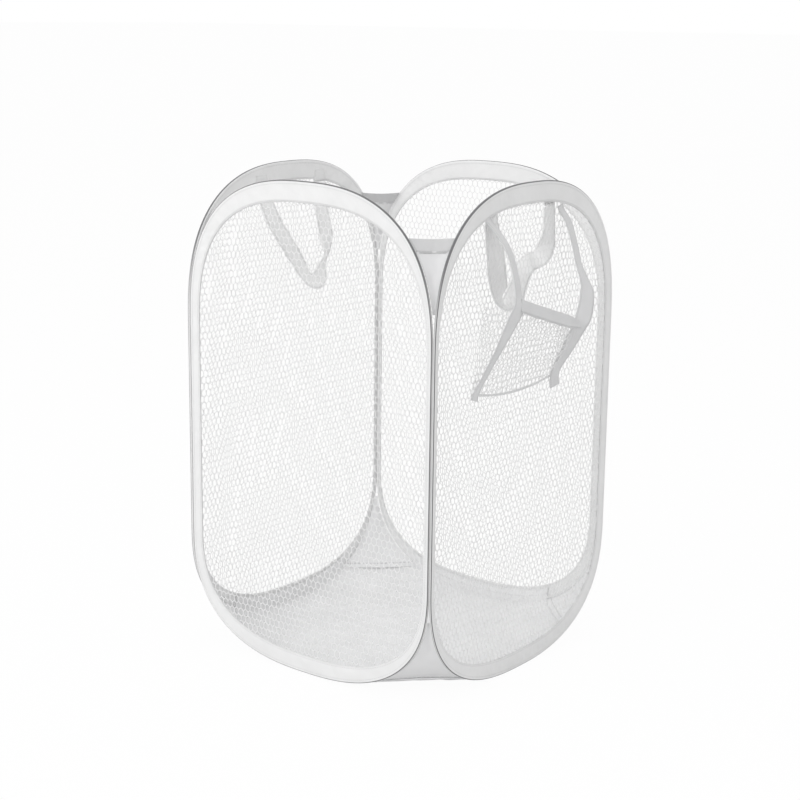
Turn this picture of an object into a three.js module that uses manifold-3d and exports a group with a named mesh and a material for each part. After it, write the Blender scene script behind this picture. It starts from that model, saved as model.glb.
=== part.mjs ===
// Pop up laundry hamper: four sprung oval mesh panels hinged at their corners, a sheet floor,
// corner gussets, two strap handles and a mesh side pocket. Millimetres, +Z up, floor at z = 0.
import * as THREE from "three";
import { mergeVertices } from "three/addons/utils/BufferGeometryUtils.js";
import Module from "manifold-3d";

const wasm = await Module();
wasm.setup();

// Overall sizes
const hamperHeight = 610;
const hingeSpacing = 376;
const sewnGap = 0.3;

// Panel outline: two caps of a superellipse with straight sides between them
const topCapHeight = 188;
const bottomCapHeight = 150;
const topRoundness = 2.56;
const bottomRoundness = 2.5;
const capSegments = 19;
const sideSegments = 2;

// Spring wire, crimp sleeve and the tape casing folded round them
const wireRadius = 0.9;
const wireSides = 5;
const wireEndGap = 1;
const ferruleLength = 20;
const ferruleBore = 1.15;
const ferruleRadius = 1.4;
const ferruleSides = 8;
const tapeThickness = 0.5;
const wirePlay = 0.75;
const casingSides = 6;
const slotHalf = 0.6;
const topCasingWidth = 24;
const bottomCasingWidth = 20;
const openCasingWidth = 13;
const seamCasingWidth = 6;
const casingSwell = 1.5;

// Net of each panel
const netThickness = 0.6;
const netEdgeInset = 2.6;
const netRim = 3;
const netPitchAcross = 48;
const netPitchUp = 68;
const netThread = 5;
const smallestGapShare = 0.14;

// Floor sheet and corner gussets
const sheetThickness = 0.8;
const floorFoldShare = 0.12;
const floorSeamShare = 0.6;
const gussetEndShare = 0.985;
const sheetSteps = 7;
const hemDrop = 53;
const hemHeight = 16;
const hemThickness = 2;

// Strap handles
const strapWidth = 23;
const strapThickness = 1.5;
const handleSpan = 116;
const handleLean = 6;
const handleSteepness = 1.7;
const handleSplay = 0.8;
const tabHeight = 17;
const tabThickness = 1;
const handleSeat = 32;
const handleSteps = 9;
const rightHandle = { middle: -19, drop: 113, skew: -12 };
const leftHandle = { middle: 2, drop: 137, skew: 36 };

// Side pocket on the right panel
const pocketFront = -87;
const pocketBack = 50;
const pocketFrontSpread = -22;
const pocketBackSpread = 5;
const pocketFrontLead = -4;
const pocketBackLead = 11;
const pocketFoot = 10;
const pocketDrop = 30;
const pocketTapeLength = 102;
const pocketMouthSlope = 42;
const pocketFall = 112;
const pocketStandoff = 42;
const pocketBackSway = 19;
const pocketBackTail = 13;
const pocketTapeWidth = 18;
const pocketTapeThickness = 1.2;
const pocketWall = 0.8;
const pocketHemHeight = 14;
const pocketHemThickness = 1.6;
const pocketBelly = 7;
const bagBellyShare = 0.4;
const tapeSeatHeight = 9;
const tapeDropShares = [0.45, 0.72];
const tapeBowShares = [0.36, 0.84];
const tapeSwayShares = [1, 0.85];
const tapeFallShares = [0, 0.5, 1];
const cheekFootShare = 0.4;
const cheekDepthShare = 0.55;
const pocketSteps = 6;
const bindingHeight = 4;
const bindingThickness = 1;

// Looks of each material
const springSteel = { color: 0x8a8d90, roughness: 0.4, metalness: 0.9 };
const crimpSteel = { color: 0xa9acaf, roughness: 0.35, metalness: 0.9 };
const casingTape = { color: 0xe6e6e8, roughness: 0.8, metalness: 0 };
const whiteMesh = { color: 0xf4f4f5, roughness: 0.75, metalness: 0 };
const greySheet = { color: 0xd6d6d9, roughness: 0.85, metalness: 0 };
const greyStrap = { color: 0xb4b5b8, roughness: 0.8, metalness: 0 };

// Sizes worked out from the ones above
const casingBore = wireRadius + wirePlay;
const casingRadius = casingBore + tapeThickness;
const hingeOffset = 2 * casingRadius + sewnGap;
const halfSpacing = hingeSpacing / 2;
const sidePlane = halfSpacing + hingeOffset;
const sheetHalfX = sidePlane - casingRadius - sewnGap;
const sheetHalfY = halfSpacing - casingRadius - sewnGap;
const wireBottom = casingRadius;
const wireTop = hamperHeight - casingRadius;
const topCapBase = hamperHeight - topCapHeight;
const hemTop = hamperHeight - hemDrop;
const handleTop = hamperHeight - handleSeat;
const pocketTop = hamperHeight - pocketDrop;
const pocketMouth = pocketTop - pocketTapeLength;
const pocketBottom = pocketMouth - pocketFall;
const pocketEdges = [
  {
    name: "front",
    along: pocketFront,
    lead: pocketFrontLead,
    spread: pocketFrontSpread,
    mouth: pocketMouth,
    sway: 0,
    tail: 0,
  },
  {
    name: "back",
    along: pocketBack,
    lead: pocketBackLead,
    spread: pocketBackSpread,
    mouth: pocketMouth - pocketMouthSlope,
    sway: pocketBackSway,
    tail: pocketBackTail,
  },
];
const strapAxis = slotHalf + tapeThickness + sewnGap + strapThickness / 2;

const hamper = new THREE.Group();
hamper.name = "pop_up_laundry_hamper";

// One named mesh in the group
function addMesh(name, geometry, look) {
  const mesh = new THREE.Mesh(geometry, new THREE.MeshStandardMaterial(look));
  mesh.name = name;
  hamper.add(mesh);
}

// A BufferGeometry from points and triangles of point numbers
function solidFrom(points, triangles) {
  const geometry = new THREE.BufferGeometry();
  const flat = points.flatMap((p) => [p.x, p.y, p.z]);
  geometry.setAttribute("position", new THREE.Float32BufferAttribute(flat, 3));
  geometry.setIndex(triangles.flat());
  geometry.computeVertexNormals();
  return geometry;
}

// Skin over rings of equal length: closed along the path, or capped at both ends.
// From side liningFrom on, its quads are cut along their other diagonal, as on the wall's outer face.
function skinRings(rings, closed, liningFrom = rings[0].length) {
  const sides = rings[0].length;
  const points = rings.flat();
  const triangles = [];
  const spans = closed ? rings.length : rings.length - 1;
  for (let i = 0; i < spans; i++) {
    const here = i * sides;
    const next = ((i + 1) % rings.length) * sides;
    for (let k = 0; k < sides; k++) {
      const m = (k + 1) % sides;
      const folded = k < liningFrom ? next + m : here + m;
      const opened = k < liningFrom ? here + k : next + k;
      triangles.push([here + k, next + k, folded]);
      triangles.push([opened, next + m, here + m]);
    }
  }
  if (!closed) {
    const last = (rings.length - 1) * sides;
    for (const [a, b, c] of capTriangles(rings[0])) triangles.push([a, b, c]);
    for (const [a, b, c] of capTriangles(rings.at(-1))) triangles.push([last + a, last + c, last + b]);
  }
  return facingOut(solidFrom(points, triangles));
}

// Triangles of one end ring, cut in its own plane
function capTriangles(ring) {
  const middle = ring.reduce((sum, p) => sum.add(p), new THREE.Vector3()).divideScalar(ring.length);
  const normal = new THREE.Vector3();
  ring.forEach((p, i) => {
    const q = ring[(i + 1) % ring.length];
    normal.add(p.clone().sub(middle).cross(q.clone().sub(middle)));
  });
  normal.normalize();
  const across = ring[0].clone().sub(middle);
  across.addScaledVector(normal, -across.dot(normal)).normalize();
  const up = normal.clone().cross(across);
  const flat = ring.map((p) => {
    const q = p.clone().sub(middle);
    return new THREE.Vector2(q.dot(across), q.dot(up));
  });
  return THREE.ShapeUtils.triangulateShape(flat, []);
}

// The same solid with its faces turned outward if they all face inward
function facingOut(geometry) {
  const at = geometry.getAttribute("position");
  const index = geometry.getIndex();
  const [a, b, c] = [new THREE.Vector3(), new THREE.Vector3(), new THREE.Vector3()];
  let volume = 0;
  for (let i = 0; i < index.count; i += 3) {
    a.fromBufferAttribute(at, index.getX(i));
    b.fromBufferAttribute(at, index.getX(i + 1));
    c.fromBufferAttribute(at, index.getX(i + 2));
    volume += a.dot(b.cross(c));
  }
  if (volume < 0) {
    for (let i = 0; i < index.count; i += 3) {
      const second = index.getX(i + 1);
      index.setX(i + 1, index.getX(i + 2));
      index.setX(i + 2, second);
    }
    geometry.computeVertexNormals();
  }
  return geometry;
}

// three.js geometry to a manifold-3d solid and back
function toManifold(geometry) {
  const bare = geometry.clone();
  bare.deleteAttribute("normal");
  bare.deleteAttribute("uv");
  const merged = mergeVertices(bare);
  const vertProperties = merged.getAttribute("position").array;
  const triVerts = new Uint32Array(merged.getIndex().array);
  return new wasm.Manifold(new wasm.Mesh({ numProp: 3, vertProperties, triVerts }));
}
function fromManifold(solid) {
  const mesh = solid.getMesh();
  const geometry = new THREE.BufferGeometry();
  geometry.setAttribute("position", new THREE.BufferAttribute(mesh.vertProperties, 3));
  geometry.setIndex(new THREE.BufferAttribute(mesh.triVerts, 1));
  geometry.computeVertexNormals();
  return geometry;
}

// Share of a cap's height reached at a share of its half width
function capRise(share, roundness) {
  return Math.pow(1 - Math.pow(Math.min(share, 1), roundness), 1 / roundness);
}

// Point of a cap at an angle from its side, as shares of half width and height
function capPoint(angle, roundness) {
  const cos = Math.cos(angle);
  const sin = Math.sin(angle);
  const across = Math.sign(cos) * Math.pow(Math.abs(cos), 2 / roundness);
  return [across, Math.pow(Math.abs(sin), 2 / roundness)];
}

// Height of the wire's lower and upper arcs at a share of the half width
const lowerArc = (share) =>
  bottomCapHeight - (bottomCapHeight - wireBottom) * capRise(share, bottomRoundness);
const upperArc = (share) =>
  topCapBase + (wireTop - topCapBase) * capRise(share, topRoundness);

// The wire's centre line round one panel, with the casing width at each point
function panelPath(startSideWidth, endSideWidth) {
  const path = [];
  const sideWidth = (across) => (across > 0 ? endSideWidth : startSideWidth);
  const widthAt = (across, arcWidth, angle) => {
    const share = Math.pow(Math.abs(Math.sin(angle)), casingSwell);
    return sideWidth(across) + (arcWidth - sideWidth(across)) * share;
  };
  for (let i = 0; i <= capSegments; i++) {
    const angle = (Math.PI * i) / capSegments;
    const [across, rise] = capPoint(angle, topRoundness);
    const z = topCapBase + (wireTop - topCapBase) * rise;
    path.push({ across: across * halfSpacing, z, width: widthAt(across, topCasingWidth, angle) });
  }
  for (let i = 1; i < sideSegments; i++) {
    const z = topCapBase + ((bottomCapHeight - topCapBase) * i) / sideSegments;
    path.push({ across: -halfSpacing, z, width: startSideWidth });
  }
  for (let i = 0; i <= capSegments; i++) {
    const angle = Math.PI + (Math.PI * i) / capSegments;
    const [across, rise] = capPoint(angle, bottomRoundness);
    const z = bottomCapHeight - (bottomCapHeight - wireBottom) * rise;
    path.push({ across: across * halfSpacing, z, width: widthAt(across, bottomCasingWidth, angle) });
  }
  for (let i = 1; i < sideSegments; i++) {
    const z = bottomCapHeight + ((topCapBase - bottomCapHeight) * i) / sideSegments;
    path.push({ across: halfSpacing, z, width: endSideWidth });
  }
  return path.map((p, i) => {
    const before = path[(i + path.length - 1) % path.length];
    const after = path[(i + 1) % path.length];
    const run = new THREE.Vector2(after.across - before.across, after.z - before.z).normalize();
    return { ...p, inAcross: -run.y, inZ: run.x };
  });
}

// The four panels: centre plane, direction along the panel and direction out of the hamper
const panels = [
  {
    name: "front",
    place: (along, z, out) => new THREE.Vector3(along, -halfSpacing - out, z),
    widths: [openCasingWidth, seamCasingWidth],
  },
  {
    name: "right",
    place: (along, z, out) => new THREE.Vector3(sidePlane + out, along, z),
    widths: [seamCasingWidth, openCasingWidth],
  },
  {
    name: "back",
    place: (along, z, out) => new THREE.Vector3(along, halfSpacing + out, z),
    widths: [seamCasingWidth, openCasingWidth],
  },
  {
    name: "left",
    place: (along, z, out) => new THREE.Vector3(-sidePlane - out, along, z),
    widths: [openCasingWidth, seamCasingWidth],
  },
];

// A section point of the path: inward distance in the panel's plane, then out of the plane
const onPath = (panel, p, inward, out) =>
  panel.place(p.across + p.inAcross * inward, p.z + p.inZ * inward, out);

// Corner points of a regular section, first and last of them beside its open side
function sectionArc(radius, sides) {
  const points = [];
  for (let k = 0; k < sides - 1; k++) {
    const angle = (2 * Math.PI * (k + 1)) / sides;
    points.push([radius * Math.cos(angle), radius * Math.sin(angle)]);
  }
  return points;
}

// Tape casing: a teardrop round the wire that closes to a slot for the net's edge
function edgeCasing(panel, path) {
  const inner = sectionArc(casingBore, casingSides);
  const outer = sectionArc(casingRadius, casingSides).reverse();
  const rings = path.map((p) => {
    const section = [[p.width, slotHalf], ...inner, [p.width, -slotHalf]];
    section.push([p.width, -slotHalf - tapeThickness], ...outer, [p.width, slotHalf + tapeThickness]);
    return section.map(([inward, out]) => onPath(panel, p, inward, out));
  });
  addMesh(`${panel.name}_edge_casing`, skinRings(rings, true), casingTape);
}

// Spring wire: one open ring whose ends meet inside the crimp sleeve at the bottom
function springWire(panel, path) {
  const bottom = { z: wireBottomAt(path), inAcross: 0, inZ: 1 };
  const lowest = path.findIndex((p) => p.z === bottom.z && p.across > 0);
  const turned = [...path.slice(lowest), ...path.slice(0, lowest)];
  const run = [{ ...bottom, across: wireEndGap / 2 }, ...turned, { ...bottom, across: -wireEndGap / 2 }];
  const rings = run.map((p) => roundSection(panel, p, wireRadius, wireSides));
  addMesh(`${panel.name}_spring_wire`, skinRings(rings, false), springSteel);
}

// Height of the flat stretch at the bottom of the path
function wireBottomAt(path) {
  return Math.min(...path.map((p) => p.z));
}

// A regular ring of points round the path
function roundSection(panel, p, radius, sides) {
  const ring = [];
  for (let k = 0; k < sides; k++) {
    const angle = (2 * Math.PI * k) / sides;
    ring.push(onPath(panel, p, radius * Math.cos(angle), radius * Math.sin(angle)));
  }
  return ring;
}

// Crimp sleeve: a short pipe over the two wire ends
function wireFerrule(panel, path) {
  const z = wireBottomAt(path);
  const ends = [-ferruleLength / 2, ferruleLength / 2];
  const at = (across, radius) =>
    roundSection(panel, { across, z, inAcross: 0, inZ: 1 }, radius, ferruleSides);
  const rings = [at(ends[0], ferruleRadius), at(ends[1], ferruleRadius)];
  rings.push(at(ends[1], ferruleBore), at(ends[0], ferruleBore));
  addMesh(`${panel.name}_wire_ferrule`, skinRings(rings, true), crimpSteel);
}

// Closed flat outline extruded evenly to both sides of the panel's plane
function plateInPlane(outline, thickness) {
  const shape = new THREE.Shape(outline.map((p) => new THREE.Vector2(p[0], p[1])));
  const geometry = new THREE.ExtrudeGeometry(shape, { depth: thickness, bevelEnabled: false });
  return geometry.translate(0, 0, -thickness / 2);
}

// Net: a plate whose edge sits in the casing's slot, opened by staggered long hexagons
function panelNet(panel, path) {
  const inset = (extra) => path.map((p) => {
    const inward = extra(p);
    return [p.across + p.inAcross * inward, p.z + p.inZ * inward];
  });
  const plate = toManifold(plateInPlane(inset(() => netEdgeInset), netThickness));
  const window = toManifold(plateInPlane(inset((p) => p.width + netRim), 2 * netThickness));
  const halfAcross = netPitchAcross / 2 - netThread / 2;
  const tall = (2 * netPitchUp) / 3 - netThread / 2;
  const shoulder = netPitchUp / 3 - netThread / 2;
  const fullGap = 2 * netThickness * halfAcross * (tall + shoulder) * 2;
  let net = plate;
  const rows = Math.ceil(hamperHeight / netPitchUp);
  const columns = Math.ceil(halfSpacing / netPitchAcross);
  for (let row = 0; row <= rows; row++) {
    const z = (row + (hamperHeight / netPitchUp - rows) / 2) * netPitchUp;
    for (let column = -columns; column <= columns; column++) {
      const across = (column + (row % 2) / 2) * netPitchAcross;
      const hexagon = [
        [across, z + tall],
        [across - halfAcross, z + shoulder],
        [across - halfAcross, z - shoulder],
        [across, z - tall],
        [across + halfAcross, z - shoulder],
        [across + halfAcross, z + shoulder],
      ];
      const gap = toManifold(plateInPlane(hexagon, 2 * netThickness)).intersect(window);
      if (gap.volume() > smallestGapShare * fullGap) net = net.subtract(gap);
    }
  }
  const geometry = fromManifold(net);
  const at = geometry.getAttribute("position");
  for (let i = 0; i < at.count; i++) {
    const p = panel.place(at.getX(i), at.getY(i), at.getZ(i));
    at.setXYZ(i, p.x, p.y, p.z);
  }
  addMesh(`${panel.name}_mesh_panel`, facingOut(geometry), whiteMesh);
}

// Corner sheets run in straight lines from one panel's arc to the next one's.
// A share of 0 is the middle of the panels and 1 is the corner.
const corners = [
  { name: "front_right", x: 1, y: -1 },
  { name: "back_right", x: 1, y: 1 },
  { name: "back_left", x: -1, y: 1 },
  { name: "front_left", x: -1, y: -1 },
];
const ruleEnds = (corner, share) => [
  new THREE.Vector2(corner.x * share * sheetHalfX, corner.y * sheetHalfY),
  new THREE.Vector2(corner.x * sheetHalfX, corner.y * share * sheetHalfY),
];

// Height of the floor sheet's underside at a share of the way to the corner
function floorRise(share) {
  return share < floorFoldShare ? 0 : lowerArc(share) - casingRadius;
}

// Floor sheet: flat in the middle, folded up to the arcs at its cut corners
function floorSheet() {
  const shares = [];
  for (let k = 0; k <= sheetSteps; k++) {
    shares.push(floorFoldShare + ((floorSeamShare - floorFoldShare) * k) / sheetSteps);
  }
  const points = [];
  const triangles = [];
  const addPair = (flat, z) => {
    points.push(new THREE.Vector3(flat.x, flat.y, z));
    points.push(new THREE.Vector3(flat.x, flat.y, z + sheetThickness));
    return points.length - 2;
  };
  const addQuad = (a, b, c, d) => {
    triangles.push([a + 1, b + 1, c + 1], [a + 1, c + 1, d + 1]);
    triangles.push([a, c, b], [a, d, c]);
  };
  const rim = [];
  const middle = [];
  corners.forEach((corner) => {
    const turned = corner.x * corner.y > 0;
    const rows = shares.map((share, k) => {
      const z = k === 0 ? 0 : floorRise(share);
      const ends = ruleEnds(corner, share).map((flat) => addPair(flat, z));
      return turned ? ends.reverse() : ends;
    });
    middle.push(...rows[0]);
    rows.slice(1).forEach(([a, b], k) => addQuad(rows[k][0], a, b, rows[k][1]));
    rim.push(...rows.map((row) => row[0]), ...rows.map((row) => row[1]).reverse());
  });
  for (let i = 1; i < middle.length - 1; i++) {
    triangles.push([middle[0] + 1, middle[i] + 1, middle[i + 1] + 1]);
    triangles.push([middle[0], middle[i + 1], middle[i]]);
  }
  rim.forEach((a, i) => {
    const b = rim[(i + 1) % rim.length];
    triangles.push([a, b, b + 1], [a, b + 1, a + 1]);
  });
  addMesh("base_sheet", facingOut(solidFrom(points, triangles)), greySheet);
}

// Strip of a corner sheet between two shares, thickened towards the inside of the hamper
function cornerStrip(name, corner, stations, thickness, look) {
  const slant = Math.hypot(sheetHalfX, sheetHalfY);
  const rings = stations.map((station, i) => {
    const before = stations[Math.max(i - 1, 0)];
    const after = stations[Math.min(i + 1, stations.length - 1)];
    const run = new THREE.Vector2(((after.share - before.share) * slant) / 2, after.z - before.z).normalize();
    const side = Math.sign(run.y);
    const shift = { out: -run.y * side * thickness, up: run.x * side * thickness };
    const pull = shift.out / Math.SQRT2;
    const [a, b] = ruleEnds(corner, station.share);
    const outer = [a, b].map((p) => new THREE.Vector3(p.x, p.y, station.z));
    const inner = [a, b].map(
      (p) => new THREE.Vector3(p.x + corner.x * pull, p.y + corner.y * pull, station.z + shift.up),
    );
    return [outer[0], outer[1], inner[1], inner[0]];
  });
  addMesh(name, skinRings(rings, false), look);
}

// Share of the half width at which an arc passes a height
function shareAt(arc, z) {
  let low = 0;
  let high = 1;
  for (let i = 0; i < 40; i++) {
    const middle = (low + high) / 2;
    const past = arc(middle) > z === arc(1) > arc(0);
    if (past) high = middle;
    else low = middle;
  }
  return (low + high) / 2;
}

// Stations of a corner strip at even heights between two of them
function stationsBetween(arc, from, to, steps) {
  const stations = [];
  for (let k = 0; k <= steps; k++) {
    const z = from + ((to - from) * k) / steps;
    stations.push({ share: shareAt(arc, z), z });
  }
  return stations;
}

// Lower and upper gussets of one corner, and the hem along the upper one
function cornerGussets(corner) {
  const seam = lowerArc(floorSeamShare) + sewnGap;
  const low = stationsBetween(lowerArc, seam, lowerArc(gussetEndShare), sheetSteps);
  low.forEach((station) => {
    station.z += sewnGap + sheetThickness - casingRadius;
  });
  cornerStrip(`${corner.name}_lower_gusset`, corner, low, sheetThickness, greySheet);
  const hemBottom = hemTop - hemHeight;
  const high = stationsBetween(upperArc, hemBottom - sewnGap, upperArc(gussetEndShare), sheetSteps);
  cornerStrip(`${corner.name}_upper_gusset`, corner, high, sheetThickness, greySheet);
  const hem = stationsBetween(upperArc, hemTop, hemBottom, 2);
  cornerStrip(`${corner.name}_gusset_hem`, corner, hem, hemThickness, greySheet);
}

// Box between two opposite corners, placed by a function
function placedBox(place, low, high) {
  const ring = (along) => [
    place(along, low[1], low[2]),
    place(along, high[1], low[2]),
    place(along, high[1], high[2]),
    place(along, low[1], high[2]),
  ];
  return skinRings([ring(low[0]), ring(high[0])], false);
}

// Strap handle hanging inside a panel in a skewed V, and the two sewn tabs that hold it
function strapHandle(panel, { middle, drop, skew }) {
  const tabs = [
    { name: "front", along: middle - handleSpan / 2 },
    { name: "back", along: middle + handleSpan / 2 },
  ];
  const tabBack = -(slotHalf + tapeThickness + sewnGap + casingRadius - casingBore);
  tabs.forEach((tab) => {
    const low = [tab.along - strapWidth / 2, handleTop + sewnGap, tabBack - tabThickness];
    const high = [tab.along + strapWidth / 2, handleTop + sewnGap + tabHeight, tabBack];
    addMesh(`${panel.name}_handle_${tab.name}_tab`, placedBox(panel.place, low, high), greyStrap);
  });
  const route = [];
  for (let i = 0; i <= 2 * handleSteps; i++) {
    const t = i / handleSteps - 1;
    const fall = 1 - Math.pow(Math.abs(t), handleSteepness);
    const reach = Math.sign(t) * Math.pow(Math.abs(t), handleSplay) * (handleSpan / 2);
    const along = middle + reach + skew * fall;
    route.push({ along, z: handleTop - drop * fall, out: -strapAxis - handleLean * fall });
  }
  const rings = route.map((p, i) => {
    const before = route[Math.max(i - 1, 0)];
    const after = route[Math.min(i + 1, route.length - 1)];
    const end = i === 0 || i === route.length - 1;
    const run = new THREE.Vector2(after.along - before.along, after.z - before.z).normalize();
    const side = end ? new THREE.Vector2(1, 0) : new THREE.Vector2(-run.y, run.x);
    const sign = end && i === 0 ? 1 : end ? -1 : 1;
    const half = (strapWidth / 2) * sign;
    const at = (s, out) => panel.place(p.along + side.x * s, p.z + side.y * s, p.out + out);
    const thin = strapThickness / 2;
    return [at(half, thin), at(-half, thin), at(-half, -thin), at(half, -thin)];
  });
  addMesh(`${panel.name}_handle`, skinRings(rings, false), greyStrap);
}

// Distance of the pocket's front from the panel at a share of the way down from its mouth
const pocketDepth = (share) => pocketStandoff * (1 - share);

// Side pocket: a mesh bag hung on two tapes from the rim, its mouth standing off the panel
function sidePocket(panel) {
  const netFace = netThickness / 2 + sewnGap;
  const casingFace = casingRadius + sewnGap + pocketTapeThickness / 2;
  const seat = slotHalf + tapeThickness + 2 * sewnGap + pocketTapeThickness / 2;
  pocketEdges.forEach((edge) => {
    const route = [
      { along: edge.along + edge.lead, z: pocketTop, out: seat },
      { along: edge.along + edge.lead, z: pocketTop - tapeSeatHeight, out: seat },
    ];
    tapeDropShares.forEach((share, i) => {
      const along = edge.along + edge.sway * tapeSwayShares[i];
      const out = seat + (casingFace + pocketStandoff - seat) * tapeBowShares[i];
      route.push({ along, z: pocketTop + (edge.mouth - pocketTop) * share, out });
    });
    tapeFallShares.forEach((share) => {
      const z = edge.mouth + (pocketBottom - edge.mouth) * share;
      route.push({ along: edge.along + edge.spread * share, z, out: casingFace + pocketDepth(share) });
    });
    const end = { along: edge.along + edge.spread, z: pocketBottom - edge.tail, out: casingFace };
    if (edge.tail > 0) route.push(end);
    addMesh(`pocket_${edge.name}_tape`, tapeAlong(panel, route), greyStrap);
  });
  pocketBag(panel, netFace);
  pocketHem(panel, casingFace);
  const reach = [pocketFront + pocketFrontSpread, pocketBack + pocketBackSpread];
  const low = [reach[0], pocketBottom - bindingHeight, netFace];
  const high = [reach[1], pocketBottom - sewnGap, netFace + bindingThickness];
  addMesh("pocket_bottom_binding", placedBox(panel.place, low, high), greyStrap);
}

// Flat tape of even width along a route that bends in the plane square to the panel
function tapeAlong(panel, route) {
  const rings = route.map((p, i) => {
    const before = route[Math.max(i - 1, 0)];
    const after = route[Math.min(i + 1, route.length - 1)];
    const run = new THREE.Vector2(after.z - before.z, after.out - before.out).normalize();
    const thin = pocketTapeThickness / 2;
    const wide = pocketTapeWidth / 2;
    const at = (s, t) => panel.place(p.along + s, p.z - run.y * t, p.out + run.x * t);
    return [at(-wide, thin), at(wide, thin), at(wide, -thin), at(-wide, -thin)];
  });
  return skinRings(rings, false);
}

// Mesh bag: a U of thin wall at each level, closing on the panel at the bottom
function pocketBag(panel, netFace) {
  const rings = [];
  for (let k = 0; k <= pocketSteps; k++) {
    const [front, back] = pocketEdges.map((edge) => {
      const top = edge.mouth - pocketHemHeight / 2 - sewnGap;
      const z = top + ((pocketBottom - top) * k) / pocketSteps;
      const share = (edge.mouth - z) / (edge.mouth - pocketBottom);
      const out = netFace + pocketWall + pocketDepth(share);
      const cheekOut = netFace + (out - netFace) * cheekDepthShare;
      const wall = Math.min(pocketWall, out - netFace - sewnGap);
      return { z, share, along: edge.along + edge.spread * share, out, cheekOut, wall };
    });
    const level = (along) =>
      front.z + ((back.z - front.z) * (along - front.along)) / (back.along - front.along);
    const cheek = pocketFoot * cheekFootShare;
    const belly = pocketBelly * Math.sin(Math.PI * front.share) * bagBellyShare;
    const middle = (front.along + back.along) / 2;
    const middleOut = (front.out + back.out) / 2 - belly;
    const outer = [
      [front.along - pocketFoot, netFace],
      [front.along - cheek, front.cheekOut],
      [front.along, front.out],
      [middle, middleOut],
      [back.along, back.out],
      [back.along + cheek, back.cheekOut],
      [back.along + pocketFoot, netFace],
    ];
    const inner = [
      [back.along + pocketFoot - pocketWall, netFace],
      [back.along + cheek - pocketWall, back.cheekOut - back.wall / 2],
      [back.along - pocketWall, back.out - back.wall],
      [middle, middleOut - (front.wall + back.wall) / 2],
      [front.along + pocketWall, front.out - front.wall],
      [front.along - cheek + pocketWall, front.cheekOut - front.wall / 2],
      [front.along - pocketFoot + pocketWall, netFace],
    ];
    rings.push([...outer, ...inner].map(([along, away]) => panel.place(along, level(along), away)));
  }
  const lining = rings[0].length / 2;
  addMesh("pocket_mesh_bag", skinRings(rings, false, lining), whiteMesh);
}

// Folded hem across the pocket's mouth between the two tapes
function pocketHem(panel, casingFace) {
  const half = pocketTapeWidth / 2 + sewnGap;
  const rings = [];
  for (let k = 0; k <= pocketSteps; k++) {
    const share = k / pocketSteps;
    const along = pocketFront + half + (pocketBack - pocketFront - 2 * half) * share;
    const mouth = pocketMouth - (pocketMouthSlope * (along - pocketFront)) / (pocketBack - pocketFront);
    const out = casingFace + pocketStandoff + pocketBelly * Math.sin(Math.PI * share);
    const thin = pocketHemThickness / 2;
    const tall = pocketHemHeight / 2;
    rings.push([
      panel.place(along, mouth - tall, out - thin),
      panel.place(along, mouth - tall, out + thin),
      panel.place(along, mouth + tall, out + thin),
      panel.place(along, mouth + tall, out - thin),
    ]);
  }
  addMesh("pocket_mouth_hem", skinRings(rings, false), greyStrap);
}

panels.forEach((panel) => {
  const path = panelPath(...panel.widths);
  edgeCasing(panel, path);
  springWire(panel, path);
  wireFerrule(panel, path);
  panelNet(panel, path);
});
floorSheet();
corners.forEach(cornerGussets);
strapHandle(panels[1], rightHandle);
strapHandle(panels[3], leftHandle);
sidePocket(panels[1]);

export default hamper;
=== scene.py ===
import bmesh
import bpy
import numpy as np
from mathutils import Matrix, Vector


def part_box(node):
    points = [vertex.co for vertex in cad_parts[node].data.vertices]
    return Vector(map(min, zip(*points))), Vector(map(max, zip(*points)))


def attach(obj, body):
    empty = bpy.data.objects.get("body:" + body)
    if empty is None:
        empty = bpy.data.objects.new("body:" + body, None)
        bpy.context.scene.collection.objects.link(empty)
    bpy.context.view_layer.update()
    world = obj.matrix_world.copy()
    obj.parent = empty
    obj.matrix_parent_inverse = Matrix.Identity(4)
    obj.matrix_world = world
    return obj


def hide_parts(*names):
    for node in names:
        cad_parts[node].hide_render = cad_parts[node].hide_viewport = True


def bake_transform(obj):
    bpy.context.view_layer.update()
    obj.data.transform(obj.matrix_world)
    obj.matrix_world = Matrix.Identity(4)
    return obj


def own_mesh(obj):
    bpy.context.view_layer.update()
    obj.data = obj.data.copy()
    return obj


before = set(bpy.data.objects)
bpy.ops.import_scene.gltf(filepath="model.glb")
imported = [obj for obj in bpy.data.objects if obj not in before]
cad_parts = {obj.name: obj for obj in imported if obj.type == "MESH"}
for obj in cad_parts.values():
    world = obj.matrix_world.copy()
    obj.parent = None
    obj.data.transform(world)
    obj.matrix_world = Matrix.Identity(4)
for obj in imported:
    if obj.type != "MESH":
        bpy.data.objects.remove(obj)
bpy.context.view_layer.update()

bl_info = {
    "name": "Pop up laundry hamper",
    "version": (1, 0, 0),
    "blender": (4, 5, 0),
    "location": "View3D > Sidebar > Hamper",
    "description": "Dresses a four panel mesh hamper: tape, net, floor cloth, straps, pocket",
    "category": "Object",
}

# The hamper's main lengths in millimetres, the same as the solid model's
MM = 0.001
HEIGHT = 610.0
HALF = 188.0
SIDE_PLANE = 192.6
TUBE = 2.15
TOP_CAP = 188.0
BOTTOM_CAP = 150.0
TOP_ROUND = 2.56
BOTTOM_ROUND = 2.5
SHEET_X = 190.15
SHEET_Y = 185.55
TOP_BASE = HEIGHT - TOP_CAP
TOP_RISE = HEIGHT - TUBE - TOP_BASE
LOW_RISE = BOTTOM_CAP - TUBE

# Shares of an arc's half width: the floor's seam, the start of the floor's rise, the cloths' ends
SEAM_SHARE = 0.6
FOLD_SHARE = 0.12
CORNER_SHARE = 0.985

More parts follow.
